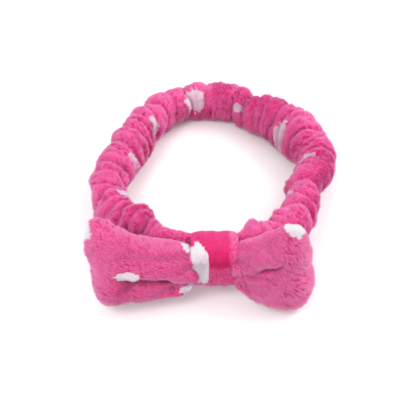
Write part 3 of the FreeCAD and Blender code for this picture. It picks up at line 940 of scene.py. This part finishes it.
def ribbon(name, side, first, last, inward=0.0):
    """A flat ribbed ribbon on edge along the ring's line."""
    along = np.linspace(first, last, max(int((last - first) / (2.5 * MM)), 6) + 1)
    line, outward = ring_line(side, along)
    high = np.linspace(-ELASTIC_HALF, ELASTIC_HALF, 41)
    rib = ELASTIC_THICK / 2 - RIB_HIGH * (0.5 + 0.5 * np.cos(2 * math.pi * high / RIB_PITCH))
    up = np.concatenate([high, high[::-1]])
    out = np.concatenate([rib, -rib[::-1]])
    rings = line[:, None, :] + UP * up[:, None] + outward[:, None, :] * (out - inward)[:, None]
    columns = up.size
    faces = skin_faces(along.size, columns)
    faces.append(tuple(range(columns))[::-1])
    faces.append(tuple(range((along.size - 1) * columns, along.size * columns)))
    piece = face_out(new_piece(name, rings.reshape(-1, 3), faces))
    piece.data.materials.append(elastic_knit)
    return piece


for side, part, name, first, last in quarters():
    strip = ribbon(f"elastic_{name}_quarter", side, first, last)
    join_quarter(strip, side, first, last)
    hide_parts(*quarter_nodes("elastic", side, part))
print("elastic made in four quarters")

# %% The stitch tree
def stitch_tree():
    """Beads of thread along a line, with their pitch, size and slant as inputs."""
    tree, given, result = new_tree("stitches", [
        ("Pitch", "Float", 0.003), ("Length", "Float", 0.0022), ("Thickness", "Float", 0.0006),
        ("Slant", "Float", 0.0), ("Material", "Material", None),
    ])
    want = given.outputs
    path = put(tree, "GeometryNodeMeshToCurve")
    wire(tree, want["Geometry"], path.inputs["Mesh"])
    even = put(tree, "GeometryNodeResampleCurve", mode="LENGTH")
    wire(tree, path.outputs[0], even.inputs["Curve"])
    wire(tree, want["Pitch"], even.inputs["Length"])
    bead = put(tree, "GeometryNodeMeshUVSphere", {"Segments": 6, "Rings": 4, "Radius": 0.5}).outputs["Mesh"]
    turn = turned(tree, put(tree, "GeometryNodeInputTangent").outputs[0], "X", want["Slant"])
    sizes = (want["Length"], want["Thickness"], want["Thickness"])
    made_real(tree, copies(tree, even.outputs[0], bead, turn, sizes), want["Material"], result)
    return tree


STITCH = stitch_tree()


def stitched(name, points, pitch, length, thickness, material, slant=0.0):
    """A row of stitches along a line of points. Pitch, length and thickness are in mm."""
    mesh = bpy.data.meshes.new("line")
    mesh.from_pydata([tuple(p) for p in points], [(i, i + 1) for i in range(len(points) - 1)], [])
    line = bpy.data.objects.new("line", mesh)
    bpy.context.scene.collection.objects.link(line)
    row = grown(name, line, STITCH, {
        "Pitch": pitch * MM, "Length": length * MM, "Thickness": thickness * MM, "Slant": slant,
        "Material": material,
    })
    spent(line)
    return row


def sewn_on(row, body, node):
    """A row of stitches rides its body and stands for its node of the solid model."""
    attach(row, body)
    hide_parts(node)


# %% The sleeve's long seam
SEAM_DROP = 11.6 * MM
for side, part, name, first, last in quarters():
    line, _ = ring_line(side, np.linspace(first, last, 90))
    seam = stitched(
        f"sleeve_seam_{name}_quarter", line - UP * SEAM_DROP, 2.4, 2.6, 0.9, pink_thread, slant=0.25
    )
    join_quarter(seam, side, first, last)
    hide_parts(*quarter_nodes("sleeve_seam", side, part))


# %% The thread that closes the sleeve's ends, and the elastic's join
def oval(place, high, deep, count=64):
    """Points of an upright closed oval that faces along X, round a place."""
    angle = np.linspace(0, 2 * math.pi, count)
    front = np.array(TIP @ Vector((0, -1, 0)))
    return np.array(place) + np.outer(np.cos(angle) * deep, front) + np.outer(np.sin(angle) * high, UP)


END_SEAM_SIDE, LAP = 8 * MM, 12 * MM
ZIG, ZIG_WIDE, ZIG_OUT, ZIGS = 1.1 * MM, 1.6 * MM, 1.1 * MM, 17
end_line = oval(FRONT_POINT + Vector((END_SEAM_SIDE, 0, 0)), NECK_HIGH, NECK_DEEP)
end_seam = stitched("sleeve_end_seam_stitches", end_line, 2.0, 2.2, 0.6, pink_thread, slant=0.4)
sewn_on(end_seam, "front", "sleeve_end_seam")
zigzag = np.array([
    FRONT_POINT + TIP @ Vector((ZIG_WIDE * (-1) ** i, -ZIG_OUT, (i - ZIGS // 2) * ZIG)) for i in range(ZIGS)
])
join = stitched("elastic_join_zigzag", zigzag, 0.9, 1.1, 0.4, white_thread)
sewn_on(join, "front", "elastic_join_stitches")
lap = ribbon("elastic_lapped_end", RIGHT, 0.0, LAP, inward=ELASTIC_THICK)
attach(lap, "front")
print("threads made")

# %% [markdown]
# The bow's lobes. Each is a bag of two fleece panels, pinched to a narrow throat at the knot, so it swells
# away from the knot, and pleats fan out from the throat. It starts as a rule: heights above and below its
# middle line, depths in front and behind, and an outer end that closes with rounded corners. Cloth
# simulation then presses it out from inside, so that the panels settle like fabric. The deep folds that a
# hand left in it are pressed in last.

# %% Lobe shape
LEAN = math.radians(12) + TILT
SWEEP = math.radians(3)
LOBE_UP = Vector((0, math.sin(LEAN), math.cos(LEAN)))
LOBE_AHEAD = Vector((0, -math.cos(LEAN), math.sin(LEAN)))
HINGE_TO_WAIST = TIP @ Vector((0, 6.6 * MM, 0))
ROOT, LOBE_OUT, LOBE_FRONT = {}, {}, {}
for side, hand in HAND.items():
    sideways = Vector((side, 0, 0))
    ROOT[side] = Vector(joint[f"{hand}_lobe_flex"]["pos_m"]) + HINGE_TO_WAIST
    LOBE_OUT[side] = (sideways * math.cos(SWEEP) + LOBE_AHEAD * math.sin(SWEEP)).normalized()
    LOBE_FRONT[side] = (LOBE_AHEAD * math.cos(SWEEP) - sideways * math.sin(SWEEP)).normalized()

# distance out from the knot's side, height above and below the middle line, depth in front and behind, in mm
LOBE_SHAPE = {
    LEFT: (
        (-5.0, 9.0, 14.0, 6.2, 3.0), (-1.0, 11.0, 19.0, 10.0, 3.2), (1.5, 13.0, 21.3, 11.6, 3.6),
        (6.0, 16.0, 23.5, 13.5, 4.0), (15.0, 19.0, 25.3, 15.5, 4.2), (25.0, 21.5, 27.0, 16.5, 4.3),
        (42.0, 28.5, 29.5, 18.0, 4.2), (57.0, 36.5, 31.5, 17.5, 4.2), (63.0, 37.8, 31.8, 15.5, 4.2),
        (69.0, 37.0, 32.0, 13.0, 4.2),
    ),
    RIGHT: (
        (-5.0, 11.0, 13.0, 6.2, 3.0), (-1.0, 14.0, 18.0, 10.0, 3.2), (1.5, 15.5, 20.0, 11.2, 3.6),
        (6.0, 18.5, 22.5, 12.8, 4.0), (12.0, 21.5, 27.0, 15.0, 4.2), (20.0, 26.0, 31.5, 16.8, 4.2),
        (32.0, 31.0, 34.0, 18.0, 4.2), (42.0, 31.5, 33.0, 16.5, 4.2), (50.5, 29.0, 29.5, 12.0, 4.2),
    ),
}
# how far the lower half reaches forward, over the depth below the middle
LOW_FORWARD = {LEFT: 0.10, RIGHT: 0.12}
# how much longer a lobe is at its top, and shorter at its bottom, than at its middle, over the height
SKEW = {LEFT: (0.09, 0.07), RIGHT: (-0.10, -0.10)}
OVERHANG = {LEFT: 0.6 * MM, RIGHT: 1.4 * MM}  # how far a lobe's front swells over the knot's edge
LOBE_LENGTH = {side: LOBE_SHAPE[side][-1][0] * MM for side in HAND}
CAP = 10 * MM  # the outer end closes over this distance
SQUARE, SQUARER = 0.86, 0.28  # power of the section, and how much less it is low down near the knot
PLEATS, PLEAT_DEEP, PLEAT_REACH = 9, 0.16, 15 * MM


def signed_power(value, power):
    """A power that keeps the sign, for sections between an oval and a block."""
    return np.sign(value) * np.abs(value) ** power


LOBE_FRAME = {side: np.array([LOBE_OUT[side], LOBE_FRONT[side], LOBE_UP]) for side in HAND}


def lobe_to_world(side, out, front, up):
    """Points of a lobe's own frame to the row frame."""
    return np.stack([out, front, up], axis=-1) @ LOBE_FRAME[side] + np.array(ROOT[side])


def lobe_local(side, points):
    """Points of the row frame to distances out, in front and up in a lobe's own frame."""
    local = (points - np.array(ROOT[side])) @ LOBE_FRAME[side].T
    return local[:, 0], local[:, 1], local[:, 2]


def rough_lobe(side):
    """The lobe as its rule gives it, closed at both ends."""
    rows, columns = 64, 72
    share = np.linspace(0, 1, rows)
    table = np.array(LOBE_SHAPE[side]) * MM
    inmost = table[0, 0]
    out = inmost + (1 - (1 - share) ** 1.5) * (LOBE_LENGTH[side] - inmost)
    above, below, ahead, behind = (through(out, table[:, 0], table[:, k]) - PILE_ROOM for k in range(1, 5))
    closing = np.clip((out - LOBE_LENGTH[side] + CAP) / CAP, 0, 1)
    tall = np.maximum(1 - closing**3.0, 0) ** (1 / 3.0)
    deep = np.maximum(1 - closing**2.0, 0) ** 0.5
    angle = np.linspace(0, 2 * math.pi, columns, endpoint=False)
    o, a = np.meshgrid(out, angle, indexing="ij")
    square = SQUARE - SQUARER * (1 - ease(o, 8 * MM, 34 * MM)) * (np.sin(a) < 0)
    upward, forward = signed_power(np.sin(a), square), signed_power(np.cos(a), square)
    up = np.where(upward > 0, upward * (above * tall)[:, None], upward * (below * tall)[:, None])
    front = np.where(forward > 0, forward * (ahead * deep)[:, None], forward * (behind * deep)[:, None])
    # pleats that fan out of the throat
    fading = np.exp(-np.maximum(o, 0) / PLEAT_REACH)
    pleat = 1 + PLEAT_DEEP * fading * np.sin(PLEATS * a + 1.7 * side + 30 * o)
    front, up = front * pleat, up * (0.5 + 0.5 * pleat)
    front = front + LOW_FORWARD[side] * np.maximum(-up, 0) * ease(o, -1 * MM, 10 * MM)
    o = o + up * np.where(up > 0, *SKEW[side]) * ease(o, 20 * MM, LOBE_LENGTH[side])
    o = o - OVERHANG[side] * ease(front, 6.5 * MM, 10 * MM) * (1 - ease(o, 4 * MM, 16 * MM))
    points = lobe_to_world(side, o, front, up)
    points[-1] = points[-1].mean(axis=0)
    faces = skin_faces(rows, columns)
    faces.append(tuple(range(columns)))
    faces.append(tuple(range((rows - 1) * columns, rows * columns)))
    lobe = new_piece(f"bow_{HAND[side]}_lobe", points.reshape(-1, 3), faces)
    work = bmesh.new()
    work.from_mesh(lobe.data)
    bmesh.ops.remove_doubles(work, verts=work.verts, dist=0.02 * MM)
    bmesh.ops.recalc_face_normals(work, faces=work.faces)
    work.to_mesh(lobe.data)
    work.free()
    return lobe


# %% Cloth
def use_modifiers(piece):
    """Replaces a piece's mesh by what its modifiers make of it."""
    mesh = bpy.data.meshes.new_from_object(piece.evaluated_get(bpy.context.evaluated_depsgraph_get()))
    piece.modifiers.clear()
    old, piece.data = piece.data, mesh
    bpy.data.meshes.remove(old)


VOXEL, PRESSURE, MOST_SWELL, FRAMES = 2.0 * MM, 3.0, 4 * MM, 20


def throat(side, points):
    """1 in a lobe's throat, which the knot holds, and 0 beyond it."""
    return 1 - ease(lobe_local(side, points)[0], 1 * MM, 7 * MM)


def press_out(piece, side):
    """Cloth simulation: the lobe swells from inside, except in its throat."""
    remesh = piece.modifiers.new("even", "REMESH")
    remesh.mode, remesh.voxel_size = "VOXEL", VOXEL
    use_modifiers(piece)
    before = points_of(piece)
    group = piece.vertex_groups.new(name="held")
    for index, weight in enumerate(throat(side, before)):
        group.add([index], float(weight), "REPLACE")
    cloth = piece.modifiers.new("cloth", "CLOTH")
    cloth.settings.vertex_group_mass = "held"
    cloth.settings.use_pressure = True
    cloth.settings.uniform_pressure_force = PRESSURE
    cloth.settings.tension_stiffness = 10
    cloth.settings.compression_stiffness = 6
    cloth.settings.bending_stiffness = 0.4
    cloth.settings.effector_weights.gravity = 0
    cloth.point_cache.frame_end = FRAMES
    for number in range(1, FRAMES + 1):
        bpy.context.scene.frame_set(number)
    use_modifiers(piece)
    piece.vertex_groups.clear()
    move = points_of(piece) - before
    far = np.linalg.norm(move, axis=1)
    print(f"{piece.name}: cloth moved {far.mean() / MM:.1f} mm on average, {far.max() / MM:.1f} at most")
    move *= np.minimum(1, MOST_SWELL / np.maximum(far, 1e-9))[:, None]
    set_points(piece, before + move)
    bpy.context.scene.frame_set(1)


# %% Folds pressed into the lobes
# one fold: (out, up) of its start, middle and end in mm, depth, half width, how far the cloth above it
# stands proud and how far the cloth under it stays back
LOBE_FOLDS = {
    LEFT: (
        ((-3, -13), (16, -5.5), (46, -2.5), 6.0, 2.1, 2.8, 8.5),
        ((2, 6), (14, 9), (26, 14), 1.2, 3.0, 0.3, 0.0),
        ((10, -17), (24, -18), (40, -15), 1.8, 1.8, 0.6, 0.8),
    ),
    RIGHT: (
        ((14, 2), (22, 5.5), (31, 8.5), 8.5, 2.3, 1.8, 2.8),
        ((-3, -7), (6, -2), (18, 3), 2.2, 3.2, 0.3, 0.8),
        ((1, 8), (10, 14), (22, 24), 1.6, 2.8, 0.3, 0.0),
        ((2, -12), (10, -17), (20, -26), 2.0, 3.0, 0.3, 0.0),
        ((20, 18), (28, 13), (37, 10), 1.4, 1.5, 0.3, 0.0),
        ((12, -3), (22, -4), (33, -8), 1.4, 1.5, 0.3, 0.0),
    ),
}


def press_folds(side, piece):
    """Works each fold into the lobe's front: a groove, a puff above it and cloth that stays back below it."""
    points, normals = points_of(piece), normals_of(piece)
    out, _, up = lobe_local(side, points)
    facing = ease(normals @ np.array(LOBE_FRONT[side]), 0.0, 0.5)
    rise = np.zeros(len(points))
    for start, middle, end, depth, half, above, below in LOBE_FOLDS[side]:
        (x0, z0), (x1, z1), (x2, z2) = start, middle, end
        x, z = out / MM, up / MM
        line = through(x, (x0, x1, x2), (z0, z1, z2)) + 0.5 * np.sin(x / 2.3) + 0.3 * np.sin(x / 1.1 + 1)
        across = z - line
        fading = ease(x, x0 - 5, x0 + 3) * (1 - ease(x, x2 - 9, x2 + 4))
        groove = np.exp(-((np.abs(across + 0.6 * half) / half) ** 1.5))
        puff = ease(across, -0.5, 2.5) * (1 - ease(across, 3, 15))
        under = ease(-across, 0, 1.2 * half) * (1 - ease(-across, 5, 17)) * ease(x, x0 + 3, x0 + 15)
        rise += fading * (above * puff - depth * groove - below * under) * MM
    loose = 0.8 * MM * swell(points, 24 * MM, 51 + side) + 0.35 * MM * swell(points, 9 * MM, 52)
    set_points(piece, points + normals * (loose + rise * facing)[:, None])


# %% The dots on the bow
# out, up, half length and half height in mm, turn in degrees, front (1) or back (-1)
BOW_DOTS = {
    LEFT: (
        (43.5, 0.5, 8.0, 3.8, 0, 1), (70, 29, 4.0, 6.5, 0, 1), (68, 27, 4.0, 8.0, 0, -1),
        (1, -19, 7.0, 4.0, 8, 1), (1, 14.5, 5.0, 3.2, 24, 1), (30, 12, 9.0, 6.0, 30, -1),
        (50, -14, 8.0, 7.0, 0, -1),
    ),
    RIGHT: ((37, 32, 9.5, 5.5, -14, 1), (37, 31, 9.0, 5.0, -14, -1), (22, -8, 8.0, 6.5, 20, -1)),
}


def bow_dots(side, points, normals):
    """1 in a white dot, 0 outside, at each point of a lobe."""
    out, _, up = lobe_local(side, points)
    ahead = normals @ np.array(LOBE_FRONT[side])
    ragged = 0.12 * swell(points, 4 * MM, 61) + 0.06 * swell(points, 1.6 * MM, 62)
    mask = np.zeros(len(points))
    for x, z, half_x, half_z, turn, face in BOW_DOTS[side]:
        c, s = math.cos(math.radians(turn)), math.sin(math.radians(turn))
        u = ((out - x * MM) * c + (up - z * MM) * s) / (half_x * MM)
        v = ((up - z * MM) * c - (out - x * MM) * s) / (half_z * MM)
        inside = 1 - ease(np.hypot(u, v) + ragged, *DOT_EDGE)
        mask = np.maximum(mask, inside * ease(ahead * face, -0.35, -0.1))
    return mask


# %% The pile of the lobes
COMBED = math.radians(35)
LOCKS_SLANT = math.radians(-35)
LOBE_LOCK = (4.0 * MM, 1.1 * MM, 2.5 * MM)  # length, width and depth of a lock


def comb_lobe(side, lobe):
    """Notes on a lobe which way its pile lies, where it grows, and how it parts into locks."""
    points = points_of(lobe)
    out, front, up = lobe_local(side, points)
    note(lobe, "dot", bow_dots(side, points, normals_of(lobe)))
    swirl = 0.5 * swell(points, 40 * MM, 71 + side) - side * COMBED
    comb = np.outer(np.cos(swirl), LOBE_OUT[side]) + np.outer(np.sin(swirl), LOBE_UP)
    note(lobe, "comb", comb, "FLOAT_VECTOR")
    note(lobe, "cover", np.maximum(ease(out, -0.5 * MM, 1.0 * MM), ease(front, 7 * MM, 8 * MM)))
    lengthwise = side * out * math.cos(LOCKS_SLANT) + up * math.sin(LOCKS_SLANT)
    crosswise = up * math.cos(LOCKS_SLANT) - side * out * math.sin(LOCKS_SLANT)
    crosswise = crosswise + 1.2 * MM * swell(points, 14 * MM, 73)
    weave = np.stack([lengthwise, crosswise, front], axis=1) / LOBE_LOCK
    note(lobe, "weave", weave, "FLOAT_VECTOR")
    brushed = ease(up, 4 * MM, 14 * MM) * (1 - ease(out, 20 * MM, 34 * MM))
    note(lobe, "rough", roughness(points, 0.75) * (1 - 0.75 * brushed))


# %% Build the lobes
for side, hand in HAND.items():
    lobe = rough_lobe(side)
    press_out(lobe, side)
    finer = lobe.modifiers.new("finer", "SUBSURF")
    finer.levels = finer.render_levels = 1
    use_modifiers(lobe)
    press_folds(side, lobe)
    set_points(lobe, on_table(points_of(lobe)))
    lobe.data.shade_smooth()
    comb_lobe(side, lobe)
    pile = pile_on(f"bow_{hand}_pile", lobe, BOW_TUFTS, 17 + side, bow_pile)
    wall = lobe.modifiers.new("cloth thickness", "SOLIDIFY")
    wall.thickness, wall.offset = CLOTH, -1
    use_modifiers(lobe)
    lobe.data.materials.clear()
    lobe.data.materials.append(bow_cloth)
    for piece in (lobe, pile):
        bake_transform(piece)
    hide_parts(f"bow_{hand}_front_panel", f"bow_{hand}_back_panel")
    print(f"{hand} lobe: {len(lobe.data.polygons)} faces")

# %% [markdown]
# The waist, its thread and the closing stitches. The waist is the pinched middle of the bow's two panels,
# pleated so that it fits the knot. It is a tube whose outline ripples.

# %% The waist
WAIST = (ROOT[LEFT] + ROOT[RIGHT]) / 2
WAIST_LONG, WAIST_HIGH, WAIST_DEEP, WAIST_CLOTH = 23 * MM, 13.2 * MM, 4.3 * MM, 1.2 * MM
waist_angle = np.linspace(0, 2 * math.pi, 96, endpoint=False)
waist_rows = np.linspace(-WAIST_LONG / 2, WAIST_LONG / 2, 24)
ripple = 1 + 0.10 * np.sin(9 * waist_angle) + 0.05 * np.sin(17 * waist_angle + 1)
waist_front = np.array(TIP @ Vector((0, -1, 0)))


def waist_skin(less):
    """The waist's skin, less deep and high than its outside by the given amount."""
    rings = []
    for x in waist_rows:
        pinch = 1 - 0.08 * math.cos(math.pi * x / WAIST_LONG)
        front = np.outer(np.cos(waist_angle) * ripple * (WAIST_DEEP * pinch - less), waist_front)
        above = np.outer(np.sin(waist_angle) * (WAIST_HIGH * pinch - less), UP)
        rings.append(np.array(WAIST) + [x, 0, 0] + front + above)
    return np.array(rings)


waist = walled("bow_pleated_waist", waist_skin(0), waist_skin(WAIST_CLOTH))
note(waist, "dot", np.zeros(len(waist.data.vertices)))
waist.data.materials.append(bow_cloth)
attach(waist, "bow")
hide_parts("bow_waist")

# %% The waist's thread, wound five times round it
TURNS, TURN_PITCH, FIRST_TURN, TURN_POINTS = 5, 1.4 * MM, -8 * MM, 48
creep = np.linspace(0, TURN_PITCH, TURN_POINTS)[:, None] * [1, 0, 0]
turns = []
for i in range(TURNS):
    middle = WAIST + Vector((FIRST_TURN + i * TURN_PITCH, 0, 0))
    turns.append(oval(middle, WAIST_HIGH + 0.8 * MM, WAIST_DEEP + 0.4 * MM, TURN_POINTS) + creep)
winding = stitched("waist_thread_turns", np.concatenate(turns), 1.1, 1.4, 0.5, white_thread)
sewn_on(winding, "bow", "waist_thread")

# %% Stitches in the lobes' outer seams
SEAM_IN, SEAM_LOW, SEAM_TOP = 6.5 * MM, -19 * MM, 21 * MM
for side, hand in HAND.items():
    out = np.full(40, LOBE_LENGTH[side] - SEAM_IN)
    line = lobe_to_world(side, out, np.full(40, 2 * MM), np.linspace(SEAM_LOW, SEAM_TOP, 40))
    seam = stitched(f"bow_{hand}_seam_stitches", line, 2.8, 2.4, 0.6, pink_thread, slant=0.2)
    sewn_on(seam, f"{hand}_lobe", f"bow_{hand}_edge_seam")

# %% [markdown]
# The knot wrap. It is one strip, its long edges folded under, pulled tight round the band's neck and the
# bow's waist and closed at the back by hand. Pulled that tight its pile lies flat, so it looks smoother and
# deeper in colour than the rest. Its section is a rounded block, its edges roll in, and fine creases run
# the way it is pulled.

# %% The knot's skins
KNOT_HIGH, KNOT_DEEP = 37.8 / 2 * MM, 29.5 / 2 * MM
KNOT_WIDE = 32 * MM
KNOT_WALL = 2.4 * MM
KNOT_INSET, KNOT_BULGE = 0.9 * MM, 0.9 * MM  # room for its pile, and how far its middle stands proud
# next to the block that stands for it: less deep behind, deeper in front, and lower at its top and bottom
KNOT_SLACK, KNOT_PROUD, LESS_ABOVE, MORE_BELOW = 2.4 * MM, 1.6 * MM, 3.6 * MM, 1.2 * MM
knot_low, knot_high = (Vector(c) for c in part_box("knot_wrap"))
knot_middle = (knot_low + knot_high) / 2
knot_x = np.linspace(-KNOT_WIDE / 2, KNOT_WIDE / 2, 65)
knot_angle = np.linspace(0, 2 * math.pi, 160, endpoint=False)


def knot_skin(inset, bulge):
    """The wrap's skin, drawn inset from its outside; bulge is how far its middle stands proud."""
    rings = []
    c, s = np.cos(knot_angle), np.sin(knot_angle)
    power = np.where(s < 0, 0.42, np.where(c < 0, 0.85, 0.65))  # squarer below, rounder above and behind
    deep = KNOT_DEEP + np.where(c < 0, -KNOT_SLACK, KNOT_PROUD)
    high = KNOT_HIGH + np.where(s > 0, -LESS_ABOVE, MORE_BELOW)
    c, s = signed_power(c, power), signed_power(s, power)
    for x in knot_x:
        share = abs(x) / (KNOT_WIDE / 2)
        rolled = 1.1 * MM * max(0.0, (share - 0.9) / 0.1) ** 2
        rise = bulge * (1 - share**2) - rolled - inset
        where = np.outer(c * (deep + rise), waist_front) + np.outer(s * (high + rise), UP)
        rings.append(np.array(knot_middle) + [x, 0, 0] + where)
    return np.array(rings)


outer = knot_skin(KNOT_INSET, KNOT_BULGE)
flat = outer.reshape(-1, 3)
spread = np.repeat(knot_x, knot_angle.size)
away = flat - (np.array(knot_middle) + np.outer(spread, [1, 0, 0]))
away /= np.linalg.norm(away, axis=1)[:, None]
# fine creases that run the way it is pulled, and soft lumps
pull = 0.28 * MM * np.sin(spread / (1.9 * MM) + 1.2 * swell(flat, 22 * MM, 81)) * swell(flat, 13 * MM, 82)
pull += 0.45 * MM * swell(flat, 12 * MM, 83)
outer = (flat + away * pull[:, None]).reshape(outer.shape)
knot = walled("knot_wrap_strip", outer, knot_skin(KNOT_INSET + KNOT_WALL, 0.0))
print(f"knot {KNOT_WIDE / MM:.0f} mm wide, at {[round(v, 4) for v in knot_middle]}")


# %% The knot's colour and pile
def knot_marks(points):
    """The white dot on the knot, and the deep pink field beside and above it."""
    local = points - np.array(knot_middle)
    x, z, front = local[:, 0] / MM, local @ UP / MM, local @ waist_front / MM
    ragged = 0.06 * swell(points, 4 * MM, 61)
    dot = 1 - ease(np.hypot(np.abs((x + 10.2) / 6.4) ** 3, np.abs((z - 0.8) / 13.6) ** 3) + ragged, 0.8, 1.2)
    side_edge = 1 - ease(x + 0.8 * swell(points, 5 * MM, 91), 9.5, 12.0)
    low_edge = ease(z + 0.6 * swell(points, 5 * MM, 92), 1.2, 3.6)
    on_top = ease(z, 15, 16.5)
    return dot * ease(front, 0, 4), np.maximum(side_edge * low_edge, on_top)


def mark_knot(piece):
    """Notes the dot and the deep field on a piece, and gives where either of them lies."""
    dots, deep = knot_marks(points_of(piece))
    note(piece, "dot", dots)
    note(piece, "deep", deep)
    return np.maximum(dots, deep)


mark_knot(knot)
knot.data.materials.append(knot_cloth)
rows, columns, _ = outer.shape
base = face_out(new_piece("pile_base", outer.reshape(-1, 3), skin_faces(rows, columns)))
pulled_flat = mark_knot(base)
note(base, "cover", np.ones(rows * columns))
note(base, "rough", roughness(flat, 0.8) * (1 - 0.85 * pulled_flat))
note(base, "weave", flat / (1.6 * MM), "FLOAT_VECTOR")
across = np.outer(swell(flat, 15 * MM, 93), [1, 0, 0])
note(base, "comb", np.cross(away, [1, 0, 0]) + 0.3 * across, "FLOAT_VECTOR")
knot_tufts = pile_on("knot_wrap_pile", base, KNOT_TUFTS, 29, knot_pile)
spent(base)

# %% The knot's place baked into its mesh
knot_front = Vector(waist_front)
for piece in (knot, knot_tufts):
    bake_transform(piece)
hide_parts("knot_wrap")

# %% The knot's closing stitches
behind = knot_middle - knot_front * (KNOT_DEEP - KNOT_SLACK)
back_line = np.array([behind + Vector((x * MM, 0, 0)) for x in np.linspace(-12, 12, 20)])
closing = stitched("knot_closing_stitches", back_line, 2.6, 2.9, 0.7, pink_thread, slant=1.2)
sewn_on(closing, "front", "knot_seam_stitches")

# %% [markdown]
# The table, the light and the camera. A white table under a bright, even sky is how a catalogue shows a
# soft object: the shadows stay pale, and the folds are drawn by the light from above and in front.

# %% Stage
FLOOR_HALF = 3.0
floor_material, _, floor_main = shader("white_table")
floor_main.inputs["Base Color"].default_value = (0.80, 0.795, 0.80, 1)
floor_main.inputs["Roughness"].default_value = 0.9
floor_main.inputs["Specular IOR Level"].default_value = 0.0
corners = [(x * FLOOR_HALF, y * FLOOR_HALF, 0) for x, y in ((-1, -1), (1, -1), (1, 1), (-1, 1))]
floor = new_piece("table_top", corners, [(0, 1, 2, 3)], smooth=False)
floor.data.materials.append(floor_material)

world = bpy.data.worlds.new("studio")
bpy.context.scene.world = world
world.use_nodes = True
sky = world.node_tree.nodes["Background"]
sky.inputs["Color"].default_value = (1.0, 0.99, 1.0, 1)
sky.inputs["Strength"].default_value = 1.3


def area_light(name, place, size, power):
    """A round lamp that faces the headband. Place and size are in metres, power is in watts."""
    lamp = bpy.data.lights.new(name, "AREA")
    lamp.shape, lamp.size, lamp.energy = "DISK", size, power
    holder = bpy.data.objects.new(name, lamp)
    bpy.context.scene.collection.objects.link(holder)
    holder.location = place
    holder.rotation_mode = "QUATERNION"
    holder.rotation_quaternion = (Vector((0, 0, 20 * MM)) - Vector(place)).to_track_quat("-Z", "Y")


area_light("key", (-0.5, -0.5, 1.1), size=0.5, power=6.0)
area_light("fill", (0.8, 0.3, 0.9), size=0.8, power=8.0)

# %% Camera
CAMERA_DISTANCE, CAMERA_HEIGHT = 0.75, math.radians(50)
LENS, SENSOR = 90, 36
AIM_LEFT, AIM_DOWN = 9.8 * MM, 21.8 * MM  # from the ring's middle to the middle of the view
ring_middle = Vector(to_world(np.array([[0.0, (BACK_REACH - FRONT_REACH) / 2, 0.0]]))[0])
back = Vector((0, -math.cos(CAMERA_HEIGHT), math.sin(CAMERA_HEIGHT)))
view_up = Vector((0, math.sin(CAMERA_HEIGHT), math.cos(CAMERA_HEIGHT)))
aim = ring_middle - Vector((1, 0, 0)) * AIM_LEFT - view_up * AIM_DOWN
lens = bpy.data.cameras.new("camera")
lens.sensor_width, lens.lens = SENSOR, LENS
camera = bpy.data.objects.new("camera", lens)
bpy.context.scene.collection.objects.link(camera)
camera.location = aim + back * CAMERA_DISTANCE
camera.rotation_mode = "QUATERNION"
camera.rotation_quaternion = (-back).to_track_quat("-Z", "Y")
bpy.context.scene.camera = camera
bpy.context.scene.view_settings.view_transform = "Standard"
print("camera at", [round(v, 3) for v in camera.location])
